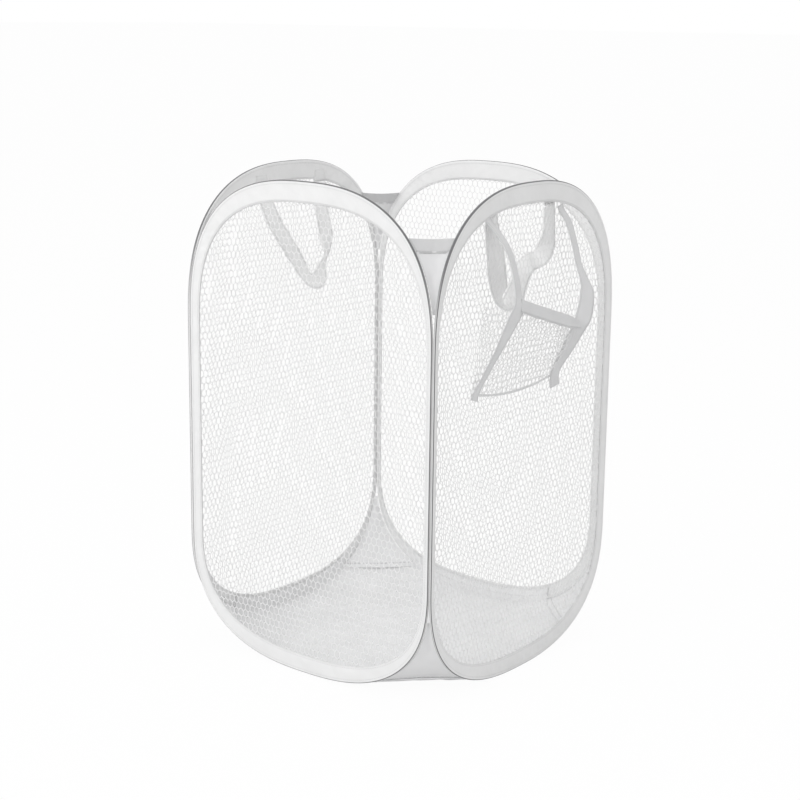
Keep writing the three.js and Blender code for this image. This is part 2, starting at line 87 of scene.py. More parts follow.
# Casing tape: radius and angle of its fold round the wire, how far its flat sides stand off the
# net and close on it, its gathers and creases, and the lap where its ends meet on the front panel
CASING_SAMPLES = 560
CASING_FOLD = 2.05
CASING_FOLD_ANGLE = 100
CASING_OUT = 1.05
CASING_SETTLE = 5.5
CASING_SHUT = 0.28
CASING_SHUT_REACH = 4.5
GATHER_HEIGHT = 0.7
CREASE_HEIGHT = 0.75
LAP_START, LAP_END, LAP_RAMP, LAP_TOP = 78, 93.5, 1.5, 60
LAP_HEIGHT = 0.4

# Heights in metres between which the tape starts to be drawn tight over the wire, and the dark line along its
# fold, with its painted rim shade, widens
TAPE_TIGHT = (0.42, 0.54)

# Nets: how far the lattice reaches past the oval, how far inside the wire it ends, its slack, how
# uneven its rows are, the edge that the tape holds, the share of a row's rise that its upright
# threads take, and what a net's knots add to its yarn
NET_MARGIN = 4
NET_INSET = 3.0
NET_SLACK = 0.45
NET_SWAY, NET_PULL = 0.9, 0.7
NET_HELD, NET_HELD_SCALE = 12.0, 1.06
NET_THICKNESS = 0.5
UPRIGHT_SHARE = 0.65

# Floor cloth: its grid, the edge that turns up inside the tapes, its creases and where they fade
FLOOR_CELLS = 120
FLOOR_LIFT = 0.25
FLANGE = 18.0
FLOOR_CREASE, FLOOR_WRINKLE, FLOOR_FADE = 2.6, 0.45, 26

# Corner cloths and hems: rows of their grids, their sag and the clearance to the arcs
CORNER_ROWS, CORNER_COLUMNS = 34, 25
LOWER_SAG, UPPER_SAG, CORNER_CREASE = 3.0, 4.0, 0.7
ARC_GAP, SEAM_GAP, HEM_LAP = 1.0, 2.3, 1.5
HEM_TOP = 557.0
HEM_HEIGHT = 16.0
HEM_FOLD = 0.75
HEM_START, HEM_FOLD_DROP = 0.5, 1.2
HEM_SET_BACK, HEM_DROOP, HEM_WAVE = 1.3, 1.2, 0.5
HEM_THICKNESS = 0.5

# Straps and their patches
STRAP_THICKNESS, STRAP_CUP = 1.2, 0.7
PATCH_THICKNESS, PATCH_CROWN, PATCH_SINK, PATCH_RIM, PATCH_WALL = 0.9, 0.35, 0.8, 4, 0.25

# Widths of the tape on a panel's low and high side along it
PANELS = {
    "front": (13.0, 6.0),
    "right": (6.0, 13.0),
    "back": (4.4, 13.0),
    "left": (13.0, 4.4),
}

# Each panel's direction from the middle, and the joint that folds it
SIDES = {
    "front": (0, -1, "panel_fold"),
    "right": (1, 0, "panel_fold"),
    "back": (0, 1, "back_panel_fold"),
    "left": (-1, 0, "left_panel_fold"),
}

# Each corner's direction and the two bodies that meet there
CORNERS = {
    "front_right": (1, -1, "front_panel", "right_panel"),
    "back_right": (1, 1, "right_panel", "back_panel"),
    "back_left": (-1, 1, "left_panel", "back_panel"),
    "front_left": (-1, -1, "front_panel", "left_panel"),
}

# The corner where the linkage is opened, whose cloths are made in halves
OPEN_CORNER = "back_left"

# Places of the two straps: along the panel, height, distance inwards, roll in degrees
STRAP_PLACES = {
    "right": [
        (-80, 578, 2.2, 0),
        (-78, 562, 2.8, -8),
        (-68, 535, 4.5, -26),
        (-57, 503, 8.0, -34),
        (-45, 482, 12.0, -18),
        (-34, 468, 16.0, 36),
        (-21, 462, 19.0, 85),
        (-9, 470, 17.0, 58),
        (0, 488, 15.0, 26),
        (9, 505, 14.0, 42),
        (24, 511, 14.0, 22),
        (38, 514, 12.5, 52),
        (46, 526, 9.0, 34),
        (46, 548, 5.0, 6),
        (41, 578, 2.2, 0),
    ],
    "left": [
        (-57, 578, 2.2, 0),
        (-50, 562, 3.0, 0),
        (-35, 532, 5.0, -2),
        (-17, 507, 7.0, -2),
        (1, 483, 9.0, 0),
        (12, 465, 12.0, 6),
        (19, 453, 15.0, 22),
        (30, 447, 17.0, 36),
        (42, 450, 16.0, 24),
        (51, 461, 13.0, -4),
        (60, 475, 10.0, -28),
        (66, 489, 8.5, -14),
        (66, 508, 7.0, 10),
        (61, 530, 6.0, 6),
        (58, 550, 4.0, 3),
        (60, 578, 2.2, 0),
    ],
}

# The pocket on the right panel: its two mouth corners, how far its sides spread, its heights and
# depth, and the shallow curve of its bottom seam
POCKET_FRONT, POCKET_BACK = -87.0, 50.0
POCKET_FRONT_SPREAD, POCKET_BACK_SPREAD = -22.0, 5.0
POCKET_MOUTH, POCKET_SLOPE, POCKET_BOTTOM = 478.0, 42.0, 366.0
POCKET_OFF = 42.0
POCKET_FACE = 3.05
POCKET_FOOT_DROP, POCKET_FOOT_RISE, POCKET_FOOT_MIDDLE, POCKET_FOOT_REACH = 5, 9, -24, 85

# The pocket's net, hem and tapes: slack, bulges, folds and thicknesses
POCKET_NET_RISE, POCKET_NET_TOP, POCKET_YARN = 1.05, 5.5, 1.45
POCKET_SAG, POCKET_PUFF = 3.2, 0.7
POCKET_NEAR, POCKET_CHEEK_FOOT, POCKET_CHEEK_SPREAD = 1.3, 0.9, 8
POCKET_HEM_HALF, POCKET_HEM_TOP, POCKET_HEM_FOLD = 8, 7.2, 0.65
POCKET_HEM_INSET, POCKET_HEM_BELLY, POCKET_HEM_DIP = 3.5, 5.5, 1.5
POCKET_HEM_BACK, POCKET_HEM_WAVE = 1.2, 0.6
POCKET_TAPE_THICKNESS, POCKET_TAPE_CUP = 0.9, 0.4
BINDING_WIDTH, BINDING_OUT, BINDING_THICKNESS, BINDING_CUP = 2.6, 1.35, 0.7, 0.3

# The narrowest corner cloth in metres, and the least share of its outline that a sheet's area may be
NARROWEST, LEAST_SHARE = 0.028, 0.301

# Places of the pocket's two tapes: along the panel, height, distance out, roll in degrees, width
POCKET_TAPES = {
    "pocket_front_strip": [
        (-91, 577, 0.1, 0, 11),
        (-90, 570, 1.8, 0, 12),
        (-86, 558, 12.0, -8, 15),
        (-85, 538, 27.0, -14, 18),
        (-86, 510, 38.0, -16, 18),
        (-87, 489, 43.0, -12, 19),
        (-87, 476, 44.5, 0, 22),
        (-90, 461, 39.5, 8, 21),
        (-98, 424, 25.0, 4, 14),
        (-106, 390, 10.5, 0, 11.5),
        (-111, 371, 3.4, 0, 13),
        (-113, 364, 2.4, 0, 15),
    ],
    "pocket_back_strip": [
        (61, 577, 0.1, 0, 11),
        (63, 570, 1.8, 0, 12),
        (68, 556, 9.0, -5, 15),
        (69, 530, 18.0, -8, 16),
        (65, 508, 27.0, -8, 16),
        (66, 488, 35.5, 0, 18),
        (65, 474, 40.5, 16, 21),
        (58, 455, 43.5, 24, 22),
        (46, 437, 44.5, 22, 22),
        (48, 420, 34.0, 20, 22),
        (53, 400, 21.0, 16, 20),
        (54, 381, 9.5, 8, 19),
        (56, 367, 3.6, 0, 19),
        (58, 353, 2.8, 0, 20),
    ],
}

# The camera, fitted to the photograph: place in metres, angles, focal length in its pixels
CAMERA_SPOT = (1.29332, -1.66134, 0.80650)
CAMERA_AZIMUTH, CAMERA_ELEVATION, CAMERA_ROLL = np.radians((37.9504, 13.1331, 0.7087))
CAMERA_FOCAL = 1678.107
PHOTO_SIZE = 800
SENSOR = 36
VIEW_LENGTH = 200

# The lamps: place, size and power. They look at one point. The stage's floor and how far it lies
# below the hamper's base.
LAMPS = {
    "key lamp": ((-0.7, -3.3, 2.3), 2.6, 62),
    "fill lamp": ((3.0, -0.6, 2.0), 2.4, 13),
    "top lamp": ((0.2, 0.4, 3.4), 2.6, 16),
}
LAMP_TARGET = (0, 0, 0.3)
STAGE_REACH, STAGE_DROP = 60.0, 0.0004
STAGE_CORNERS = ((-1, -1), (1, -1), (1, 1), (-1, 1))


# Shapes worked out as whole arrays


def placed(panel, along, height, out):
    """Points given along, up and out of one panel, as points of the hamper in millimetres."""
    along, height, out = np.broadcast_arrays(along, height, out)
    spots = {
        "front": (along, -HALF - out, height),
        "right": (SIDE_PLANE + out, along, height),
        "back": (along, HALF + out, height),
        "left": (-SIDE_PLANE - out, along, height),
    }
    return np.stack(spots[panel], -1)


def outward(panel):
    """A panel's direction away from the middle of the hamper."""
    return placed(panel, 0, 0, 1.0) - placed(panel, 0, 0, 0.0)


def unit(vectors):
    """Vectors shortened or lengthened to a length of 1."""
    return vectors / np.linalg.norm(vectors, axis=-1, keepdims=True)


def run_of(points):
    """Length of a line of points from its first point to each of them."""
    return np.concatenate([[0], np.cumsum(np.linalg.norm(np.diff(points, axis=0), axis=1))])


def pairs(first, second):
    """Two arrays brought to one shape and put side by side."""
    return np.stack(np.broadcast_arrays(first, second), -1)


def smooth(value, low, high):
    """0 below low, 1 above high, and 3s^2 - 2s^3 at a share s of the way between them."""
    share = np.clip((value - low) / (high - low), 0, 1)
    return share * share * (3 - 2 * share)


def ripples(x, y, wavelength, seed, waves=7):
    """Sum of plane waves of like length in mixed directions, each with its own phase, about -1 to 1."""
    rng = np.random.default_rng(seed)
    turn = rng.uniform(0, np.pi, waves)
    pace = 2 * np.pi / (wavelength * rng.uniform(0.7, 1.5, waves))
    start = rng.uniform(0, 2 * np.pi, waves)
    run = np.multiply.outer(x, np.cos(turn)) + np.multiply.outer(y, np.sin(turn))
    return np.sin(run * pace + start).sum(-1) / waves**0.5 / 1.2


def cap_rise(share, roundness):
    """Height of a superellipse cap at a share of its half width: (1 - share^n)^(1/n)."""
    return (1 - np.clip(share, 0, 1) ** roundness) ** (1 / roundness)


def lower_arc(share):
    """Height of the wire's lower arc at a share of the half width."""
    return BOTTOM_CAP - LOW_RISE * cap_rise(share, BOTTOM_ROUND)


def lower_share(height):
    """Share of the half width at which the lower arc passes a height."""
    return cap_rise((BOTTOM_CAP - height) / LOW_RISE, BOTTOM_ROUND)


def upper_share(height):
    """Share of the half width at which the upper arc passes a height."""
    return cap_rise((height - TOP_BASE) / TOP_RISE, TOP_ROUND)


def oval_line(samples, widths, top_width, bottom_width):
    """The wire's closed line in a panel's plane at even steps, with the tape's width along it.

    Each cap is a superellipse, |along/half|^n + |rise/height|^n = 1, and straight sides join
    the two. The tape widens from its side width to the arc's width by the sine of the cap's
    angle to the power 1.5. Returns along, height, inward direction, width, run and length."""
    angle = np.linspace(0, np.pi, 500)
    sine, cosine = np.sin(angle), np.cos(angle)

    def cap(turn, roundness, base, rise):
        along = turn * HALF * np.sign(cosine) * np.abs(cosine) ** (2 / roundness)
        return np.stack([along, base + rise * sine ** (2 / roundness)], 1)

    top = cap(1, TOP_ROUND, TOP_BASE, TOP_RISE)
    bottom = cap(-1, BOTTOM_ROUND, BOTTOM_CAP, -LOW_RISE)
    line = np.concatenate([top, bottom, [[HALF, TOP_BASE]]])
    side = np.where(line[:, 0] > 0, widths[1], widths[0])
    arc = np.concatenate([top_width + 0 * sine, bottom_width + 0 * sine, [top_width]])
    width = side + (arc - side) * np.concatenate([sine, sine, [0.0]]) ** 1.5
    run = run_of(line)
    steps = run[-1] * np.arange(samples) / samples
    points = np.stack([np.interp(steps, run, column) for column in line.T], 1)
    going = unit(np.roll(points, -1, 0) - np.roll(points, 1, 0))
    inward = np.stack([-going[:, 1], going[:, 0]], 1)
    return points[:, 0], points[:, 1], inward, np.interp(steps, run, width), steps, run[-1]


def clamp_to_oval(along, height, inset):
    """Moves points outside a panel's oval, drawn in by inset, onto it. Returns them and which moved.

    A point is scaled towards the middle of its cap by its superellipse value to the power 1/n."""
    top = height > TOP_BASE
    base = np.where(top, TOP_BASE, np.where(height < BOTTOM_CAP, BOTTOM_CAP, height))
    tall = np.where(top, TOP_RISE, LOW_RISE) - inset
    roundness = np.where(top, TOP_ROUND, BOTTOM_ROUND)
    rise = height - base
    value = (np.abs(along) / (HALF - inset)) ** roundness + (np.abs(rise) / tall) ** roundness
    outside = value > 1
    scale = np.where(outside, np.maximum(value, 1e-9) ** (-1 / roundness), 1)
    return along * scale, base + rise * scale, outside


def spline(points, samples):
    """Smooth line through a table of points: Catmull-Rom cubics, then even steps of their length."""
    places = np.asarray(points, float)
    places = np.vstack([2 * places[0] - places[1], places, 2 * places[-1] - places[-2]])
    spans = len(places) - 3
    way = np.linspace(0, spans, 60 * spans + 1)[:-1]
    number = way.astype(int)
    share = (way - number)[:, None]
    before, start, end, after = (places[number + step] for step in range(4))
    line = 0.5 * (
        2 * start
        + (end - before) * share
        + (2 * before - 5 * start + 4 * end - after) * share**2
        + (3 * start - before - 3 * end + after) * share**3
    )
    line = np.vstack([line, places[-2]])
    run = run_of(line[:, :3])
    steps = np.linspace(0, run[-1], samples)
    return np.stack([np.interp(steps, run, column) for column in line.T], 1)


def hairpin(radius, low, high, count):
    """Section of a hem folded double: up one side, round the fold at its top and down the other.

    Returns how far it stands out and how high it is, from low to high where the fold starts."""
    bend = np.linspace(0, np.pi, 9)[1:-1]
    flank = np.linspace(low, high, count)
    out = np.concatenate([np.full(count, radius), radius * np.cos(bend), np.full(count, -radius)])
    return out, np.concatenate([flank, high + radius * np.sin(bend), flank[::-1]])


def corner_lines(corner, across, share):
    """Straight lines across a corner, from one panel's arc to the next one's, and their lengths.

    across is the way across, 0 to 1, and share the share of the half width at which they start."""
    x, y = CORNERS[corner][:2]
    first = pairs(x * share * SHEET_X, y * SHEET_Y)
    last = pairs(x * SHEET_X, y * share * SHEET_Y)
    lines = first * (1 - across)[..., None] + last * across[..., None]
    return lines, np.linalg.norm(last - first, axis=-1)


# Meshes


def faces_of(*corners):
    """Faces from one array of point numbers for each of their corners."""
    return np.stack(corners, -1).reshape(-1, len(corners))


def used_only(points, blocks):
    """Drops points that no face uses. Returns the rest and the faces in their new numbers."""
    used = np.unique(np.concatenate([faces.ravel() for faces in blocks]))
    place = np.zeros(len(points), int)
    place[used] = np.arange(len(used))
    return points[used], [place[faces] for faces in blocks]


def make_piece(name, points, faces, away, uvs=None, smooth_faces=True):
    """A mesh object from points in millimetres and a list of face arrays.

    away gives each point a direction that is outward, and all faces turn over together if they
    face the other way. uvs maps a layer's name to one list of corner coordinates per face array."""
    points = np.asarray(points, float).reshape(-1, 3)
    away = np.broadcast_to(np.asarray(away, float).reshape(-1, 3), points.shape)
    uvs = uvs or {}
    corner, second, third = (points[faces[0][:, number]] for number in range(3))
    if (np.cross(second - corner, third - corner) * away[faces[0][:, 0]]).sum() < 0:
        faces = [block[:, ::-1] for block in faces]
        uvs = {layer: [values[:, ::-1] for values in blocks] for layer, blocks in uvs.items()}
    mesh = bpy.data.meshes.new(name)
    mesh.from_pydata((points * MM).tolist(), [], [face for block in faces for face in block.tolist()])
    for layer, blocks in uvs.items():
        flat = np.concatenate([values.reshape(-1, 2) for values in blocks])
        mesh.uv_layers.new(name=layer).data.foreach_set("uv", (flat * MM).ravel())
    mesh.polygons.foreach_set("use_smooth", [smooth_faces] * len(mesh.polygons))
    mesh.validate()
    mesh.update()
    return linked(name, mesh)


def linked(name, data):
    """A new object in the scene."""
    made = bpy.data.objects.new(name, data)
    bpy.context.scene.collection.objects.link(made)
    return made


def grid_piece(name, points, away, uvs, round_rows=False):
    """A piece from a grid of points, whose rows may close into a ring.

    Each entry of uvs has one row more than the points where the rows close."""
    rows, columns = points.shape[:2]
    row, column = np.meshgrid(np.arange(rows - (not round_rows)), np.arange(columns - 1), indexing="ij")
    row = faces_of(row, row + 1, row + 1, row)
    column = faces_of(column, column, column + 1, column + 1)
    layers = {key: [value[row, column]] for key, value in uvs.items()}
    return make_piece(name, points, [(row % rows) * columns + column], away, layers)


def thicken(piece, millimetres, offset):
    """A live Solidify: offset -1 grows the cloth inwards from its outer face, 0 to both sides."""
    wall = piece.modifiers.new("cloth thickness", "SOLIDIFY")
    wall.thickness = millimetres * MM
    wall.offset = offset
    wall.use_even_offset = False


def sharpen_rim(piece):
    """Marks the open edges sharp, so that the wall round a cloth doesn't bend its shading."""
    mesh = piece.data
    used = np.zeros(len(mesh.loops), np.int32)
    mesh.loops.foreach_get("edge_index", used)
    mesh.edges.foreach_set("use_edge_sharp", np.bincount(used, minlength=len(mesh.edges)) == 1)


def half_piece(piece, panel):
    """The half of the open corner's piece on one panel's side of its diagonal, as a new piece."""
    half = piece.copy()
    half.data = piece.data.copy()
    half.name = half.data.name = piece.name.replace(OPEN_CORNER, f"{OPEN_CORNER}_{panel}")
    bpy.context.scene.collection.objects.link(half)
    centres = np.zeros(len(half.data.polygons) * 3)
    half.data.polygons.foreach_get("center", centres)
    x, y = np.abs(centres.reshape(-1, 3)[:, :2]).T
    other = np.flatnonzero((x * SHEET_Y > y * SHEET_X) != (panel == "left"))
    solid = bmesh.new()
    solid.from_mesh(half.data)
    solid.faces.ensure_lookup_table()
    bmesh.ops.delete(solid, geom=[solid.faces[number] for number in other], context="FACES")
    solid.to_mesh(half.data)
    solid.free()
    sharpen_rim(half)
    return half


def shown_area(piece):
    """Area in square metres of a piece's own mesh, before its thickness."""
    return sum(face.area for face in piece.data.polygons)


def dress(piece, material, slot, *nodes):
    """Gives a piece its material and hides the CAD nodes that it stands for. The slot is not used."""
    piece.data.materials.append(bpy.data.materials[material])
    if nodes:
        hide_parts(*nodes)


def flatten(piece):
    """Gives a piece its own copy of its mesh."""
    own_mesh(piece)


def ribbon(name, centre, side, face, half, cup):
    """A flat strap: each point of its centre line spreads to both sides, and may cup a little.

    A point at share s of the half width is centre + side * s * half - face * cup * s^2."""
    share = np.linspace(-1, 1, 9)
    half = np.broadcast_to(half, len(centre))[:, None]
    across = share * half
    points = centre[:, None] + side[:, None] * across[..., None] - face[:, None] * (cup * share**2)[:, None]
    run = run_of(centre)[:, None]
    layers = {"weave": pairs(run, across), "edge": pairs(run, half - np.abs(across))}
    return grid_piece(name, points, np.repeat(face[:, None], 9, 1), layers)


def rolled_ribbon(name, centre, level, roll, half, cup):
    """A ribbon whose width is turned by a roll in degrees, about its line, from a level direction.

    Its side is level * cos(roll) + (line x level) * sin(roll), with level made square to the line."""
    going = unit(np.gradient(centre, axis=0))
    level = unit(level - going * (level * going).sum(1)[:, None])
    roll = np.radians(roll)[:, None]
    side = level * np.cos(roll) + np.cross(going, level) * np.sin(roll)
    return ribbon(name, centre, side, np.cross(going, side), half, cup)


# Materials


def feed(tree, socket, value):
    """Links a socket to an input, or sets the input to a plain number or a colour."""
    if isinstance(value, bpy.types.NodeSocket):
        tree.links.new(value, socket)
    elif isinstance(value, (int, float)):
        socket.default_value = value
    else:
        socket.default_value = (*value[:3], 1)


def add_node(tree, kind, **values):
    """A shader node with some of its inputs or properties set by name."""
    made = tree.nodes.new(kind)
    for key, value in values.items():
        if key in made.inputs:
            made.inputs[key].default_value = value
        else:
            setattr(made, key, value)
    return made


def calculate(tree, operation, *values):
    """A Math node on sockets or plain numbers."""
    made = add_node(tree, "ShaderNodeMath", operation=operation)
    for socket, value in zip(made.inputs, values):
        feed(tree, socket, value)
    return made.outputs[0]


def times(tree, first, second):
    """A product of sockets or plain numbers."""
    return calculate(tree, "MULTIPLY", first, second)


def largest(tree, first, second, third):
    """The largest of three sockets."""
    return calculate(tree, "MAXIMUM", calculate(tree, "MAXIMUM", first, second), third)


def fade(tree, value, low, high, start=0.0, end=1.0, curve="LINEAR"):
    """A Map Range node: start up to low, end from high on, and between them on a curve."""
    made = add_node(tree, "ShaderNodeMapRange", interpolation_type=curve)
    for socket, number in zip(made.inputs, (value, low, high, start, end)):
        feed(tree, socket, number)
    return made.outputs[0]


def mix_colour(tree, factor, first, second):
    """A Mix node for colours: sockets or linear RGB triples."""
    made = add_node(tree, "ShaderNodeMix", data_type="RGBA")
    for number, value in ((0, factor), (6, first), (7, second)):
        feed(tree, made.inputs[number], value)
    return made.outputs[2]


def coordinate(tree, layer):
    """Run and offset of a UV layer, in metres, as two sockets."""
    source = add_node(tree, "ShaderNodeUVMap", uv_map=layer)
    parts = add_node(tree, "ShaderNodeSeparateXYZ")
    tree.links.new(source.outputs[0], parts.inputs[0])
    return parts.outputs[0], parts.outputs[1]


def object_place(tree):
    """Object coordinates, as a socket."""
    return add_node(tree, "ShaderNodeTexCoord").outputs["Object"]


def band(tree, value, middle, half, soft):
    """1 within half of middle and 0 beyond half plus soft, in millimetres."""
    off = calculate(tree, "ABSOLUTE", calculate(tree, "SUBTRACT", value, middle * MM))
    return fade(tree, off, half * MM, (half + soft) * MM, 1, 0, "SMOOTHSTEP")


def stitches(tree, layer, offset, pitch=3.2, thread=0.35):
    """Mask of a row of stitches that runs along a seam at an offset from its edge, in millimetres."""
    run, across = coordinate(tree, layer)
    phase = calculate(tree, "FRACT", times(tree, run, 1 / (pitch * MM)))
    return times(tree, band(tree, across, offset, thread, 0.15), calculate(tree, "LESS_THAN", phase, 0.68))


def weave_height(tree, layer, pitch):
    """Plain weave as the product of two sine waves at right angles, pitch in millimetres."""
    pace = 2 * np.pi / (pitch * MM)
    waves = [calculate(tree, "SINE", times(tree, axis, pace)) for axis in coordinate(tree, layer)]
    return times(tree, *waves)


def cloudy(tree, colour, size, depth):
    """A colour that varies softly over Object coordinates by a share of itself, and its noise."""
    noise = add_node(tree, "ShaderNodeTexNoise", Scale=1000 / size, Detail=3.0, Roughness=0.55)
    tree.links.new(object_place(tree), noise.inputs["Vector"])
    darker = [channel * (1 - depth) for channel in colour[:3]]
    return mix_colour(tree, fade(tree, noise.outputs[0], 0.3, 0.7), darker, colour), noise.outputs[0]


def start_material(name, roughness, metallic=0.0, sheen=0.0):
    """A new node material and its Principled shader, with plain values on the sockets."""
    made = bpy.data.materials.new(name)
    made.use_nodes = True
    shader = made.node_tree.nodes["Principled BSDF"]
    values = {"Roughness": roughness, "Metallic": metallic, "Sheen Weight": sheen, "Specular IOR Level": 0.3}
    for key, value in values.items():
        shader.inputs[key].default_value = value
    return made.node_tree, shader


def surface(tree, shader, base, height, millimetres):
    """Gives the shader its colour, and a Bump node of a plain depth under its normal."""
    tree.links.new(base, shader.inputs["Base Color"])
    bump = add_node(tree, "ShaderNodeBump", Strength=1.0, Distance=millimetres * MM)
    tree.links.new(height, bump.inputs["Height"])
    tree.links.new(bump.outputs[0], shader.inputs["Normal"])


def sewn(tree, raised, seam, cloud):
    """Height of a cloth: its weave, sunk at the seams, with the unevenness of the noise."""
    return calculate(tree, "ADD", calculate(tree, "SUBTRACT", raised, seam), cloud)


def tape_material(colours):
    """Folded polyester tape: plain weave, stitch rows and a dark line along its fold.

    The line is partly the wire seen through the tape and partly painted shade along the tape's round outer
    rim. It is wide over the top arcs, where the tape is drawn tight, and fine below them."""
    tree, shader = start_material("casing tape cloth", 0.75, sheen=0.15)
    base, cloud = cloudy(tree, colours.tape, 38, 0.05)
    across = coordinate(tree, "across")[1]
    place = add_node(tree, "ShaderNodeSeparateXYZ")
    tree.links.new(object_place(tree), place.inputs[0])
    tight = fade(tree, place.outputs[2], *TAPE_TIGHT, curve="SMOOTHSTEP")
    wide = times(tree, band(tree, across, 0, 1.25, 0.75), tight)
    fine = times(tree, band(tree, across, 0, 0.3, 0.4), 0.6)
    # Dark line at the fold: the wire seen through the tape, with painted shade along the tape's round outer
    # rim
    wire = largest(tree, wide, band(tree, across, -1.8, 0.45, 0.4), fine)
    base = mix_colour(tree, wire, base, colours.wire_and_rim_shade)
    rows = (("across", 5.4), ("across", -5.4), ("edge", 2.2))
    seam = largest(tree, *(stitches(tree, *row) for row in rows))
    base = mix_colour(tree, times(tree, seam, 0.2), base, colours.stitch)
    weave = times(tree, weave_height(tree, "across", 0.9), 0.25)
    surface(tree, shader, base, sewn(tree, weave, seam, cloud), 0.18)


def net_material(name, colour, roughness):
    """Knitted yarn: short twisted loops along the threads as a fine bump, with faint colour changes."""
    tree, shader = start_material(name, roughness, sheen=0.2)
    base = cloudy(tree, colour, 14, 0.07)[0]
    loops = {"Scale": 260.0, "Distortion": 3.0, "Detail": 1.0, "bands_direction": "DIAGONAL"}
    wave = add_node(tree, "ShaderNodeTexWave", **loops)
    tree.links.new(object_place(tree), wave.inputs["Vector"])
    surface(tree, shader, base, wave.outputs[1], 0.12)


def sheet_material(name, colour, stitch, seam_offset, seam_depth):
    """Thin woven polyester cloth with soft creases, a plain weave and a stitched seam."""
    tree, shader = start_material(name, 0.72, sheen=0.1)
    base, cloud = cloudy(tree, colour, 60, 0.05)
    seam = stitches(tree, "edge", seam_offset, 5.5, 0.55)
    base = mix_colour(tree, times(tree, seam, seam_depth), base, stitch)
    weave = times(tree, weave_height(tree, "weave", 1.1), 0.2)
    surface(tree, shader, base, sewn(tree, weave, seam, cloud), 0.22)


def strap_material(name, colour, stitch, rib):
    """Woven strap: slanting ribs that meet along its middle, and a row of stitches inside each edge."""
    tree, shader = start_material(name, 0.7, sheen=0.2)
    base, cloud = cloudy(tree, colour, 25, 0.08)
    run, across = coordinate(tree, "weave")
    slant = calculate(tree, "ADD", times(tree, run, 0.6), calculate(tree, "ABSOLUTE", across))
    ribs = calculate(tree, "SINE", times(tree, slant, 2 * np.pi / (rib * MM)))
    seam = stitches(tree, "edge", 1.9)
    dark = [channel * 0.86 for channel in colour[:3]]
    base = mix_colour(tree, calculate(tree, "MULTIPLY_ADD", ribs, 0.25, 0.25), base, dark)
    base = mix_colour(tree, times(tree, seam, 0.3), base, stitch)
    surface(tree, shader, base, sewn(tree, times(tree, ribs, 0.5), seam, cloud), 0.2)


def steel_material(name, colour, roughness):
    """Drawn steel: small patches of duller finish, faintly uneven."""
    tree, shader = start_material(name, roughness, metallic=1.0)
    base, cloud = cloudy(tree, colour, 9, 0.25)
    surface(tree, shader, base, cloud, 0.03)


# Settings


def length_setting(name, description, default):
    """A size in metres that a user may change."""
    return bpy.props.FloatProperty(name=name, description=description, default=default, unit="LENGTH")


def colour_setting(name, description, *default):
    """A linear colour that a user may change."""
    return bpy.props.FloatVectorProperty(
        name=name, description=description, default=default, subtype="COLOR"
    )


class HamperSizes(bpy.types.PropertyGroup):
    """Sizes that a user may change, in metres."""

    top_tape: length_setting("Tape at the top", "Width of the tape round the top arcs", 0.024)
    bottom_tape: length_setting("Tape at the bottom", "Width of the tape round the lower arcs", 0.020)
    tape_thickness: length_setting("Tape thickness", "One layer of the folded tape", 0.00045)
    net_pitch: length_setting("Net pitch across", "Distance between two columns of holes", 0.0076)
    net_rise: length_setting("Net pitch up", "Distance between two rows of holes", 0.0082)
    net_thread: length_setting("Net thread", "Width of a thread of the net", 0.00066)
    cloth_thickness: length_setting("Cloth thickness", "Thickness of the floor and corner cloths", 0.0007)
    strap_width: length_setting("Strap width", "Width of the two carrying straps", 0.023)
    pocket_pitch: length_setting("Pocket net pitch", "Distance between its columns of holes", 0.0074)


class HamperColours(bpy.types.PropertyGroup):
    """Colours of the finishes, linear."""

    tape: colour_setting("Tape", "Folded edge tape", 0.80, 0.80, 0.80)
    # Dark line at the tape's fold: the wire seen through the tape, with painted shade along its round outer
    # rim
    wire_and_rim_shade: colour_setting("Wire line", "Tape over the dark wire", 0.16, 0.16, 0.165)
    net: colour_setting("Net", "White net of the panels", 0.81, 0.81, 0.81)
    cloth: colour_setting("Floor cloth", "Floor and lower corner cloth", 0.80, 0.80, 0.805)
    corner: colour_setting("Upper corner cloth", "Cloth of the upper corners", 0.71, 0.71, 0.715)
    hem: colour_setting("Hems", "Folded hems of the corner cloths", 0.60, 0.60, 0.605)
    strap: colour_setting("Pocket tapes", "Tapes, hem and binding of the pocket", 0.71, 0.71, 0.715)
    # Lighter than the tape: painted light that reaches the straps inside the hamper through their thin cloth
    handle: colour_setting("Carrying straps", "Straps of the two handles", 0.90, 0.90, 0.90)
    stitch: colour_setting("Stitches", "Sewing thread in its holes", 0.33, 0.33, 0.34)
    steel: colour_setting("Spring steel", "Spring wires", 0.45, 0.46, 0.47)
    crimp: colour_setting("Crimp sleeve", "Sleeves on the wire ends", 0.62, 0.63, 0.64)


# Pieces


def casing_side(panel, run, length, width, depth, flat, turn, seed):
    """How far one flat side of a panel's tape stands up in gathers and creases.

    A gather is a raised sum of five sines of the run, times a sine over the flat's width. A crease
    is a Gaussian of a wave that slants along and across the tape. Both fade where it is narrow."""
    number = list(PANELS).index(panel)
    wide = smooth(width, 8, 20)[:, None]
    rng = np.random.default_rng(seed + 10 * number)
    counts = rng.integers(70, 190, 5)
    phase = rng.uniform(0, 2 * np.pi, 5)
    waves = np.sin(2 * np.pi * np.outer(run / length, counts) + phase).sum(1)[:, None] / 3.2
    gather = np.clip(0.45 + 0.55 * waves, 0, 1.2) * (0.25 + 0.75 * wide) * np.sin(np.pi * flat**0.85)
    slant = run[:, None] + 1.3 * turn * depth
    beat = ripples(slant, 0 * slant, 46, seed + 20 + number)
    crease = np.exp(-((beat / 0.22) ** 2)) * np.sin(np.pi * flat) ** 0.6 * (0.3 + 0.7 * wide)
    return GATHER_HEIGHT * gather + CREASE_HEIGHT * crease


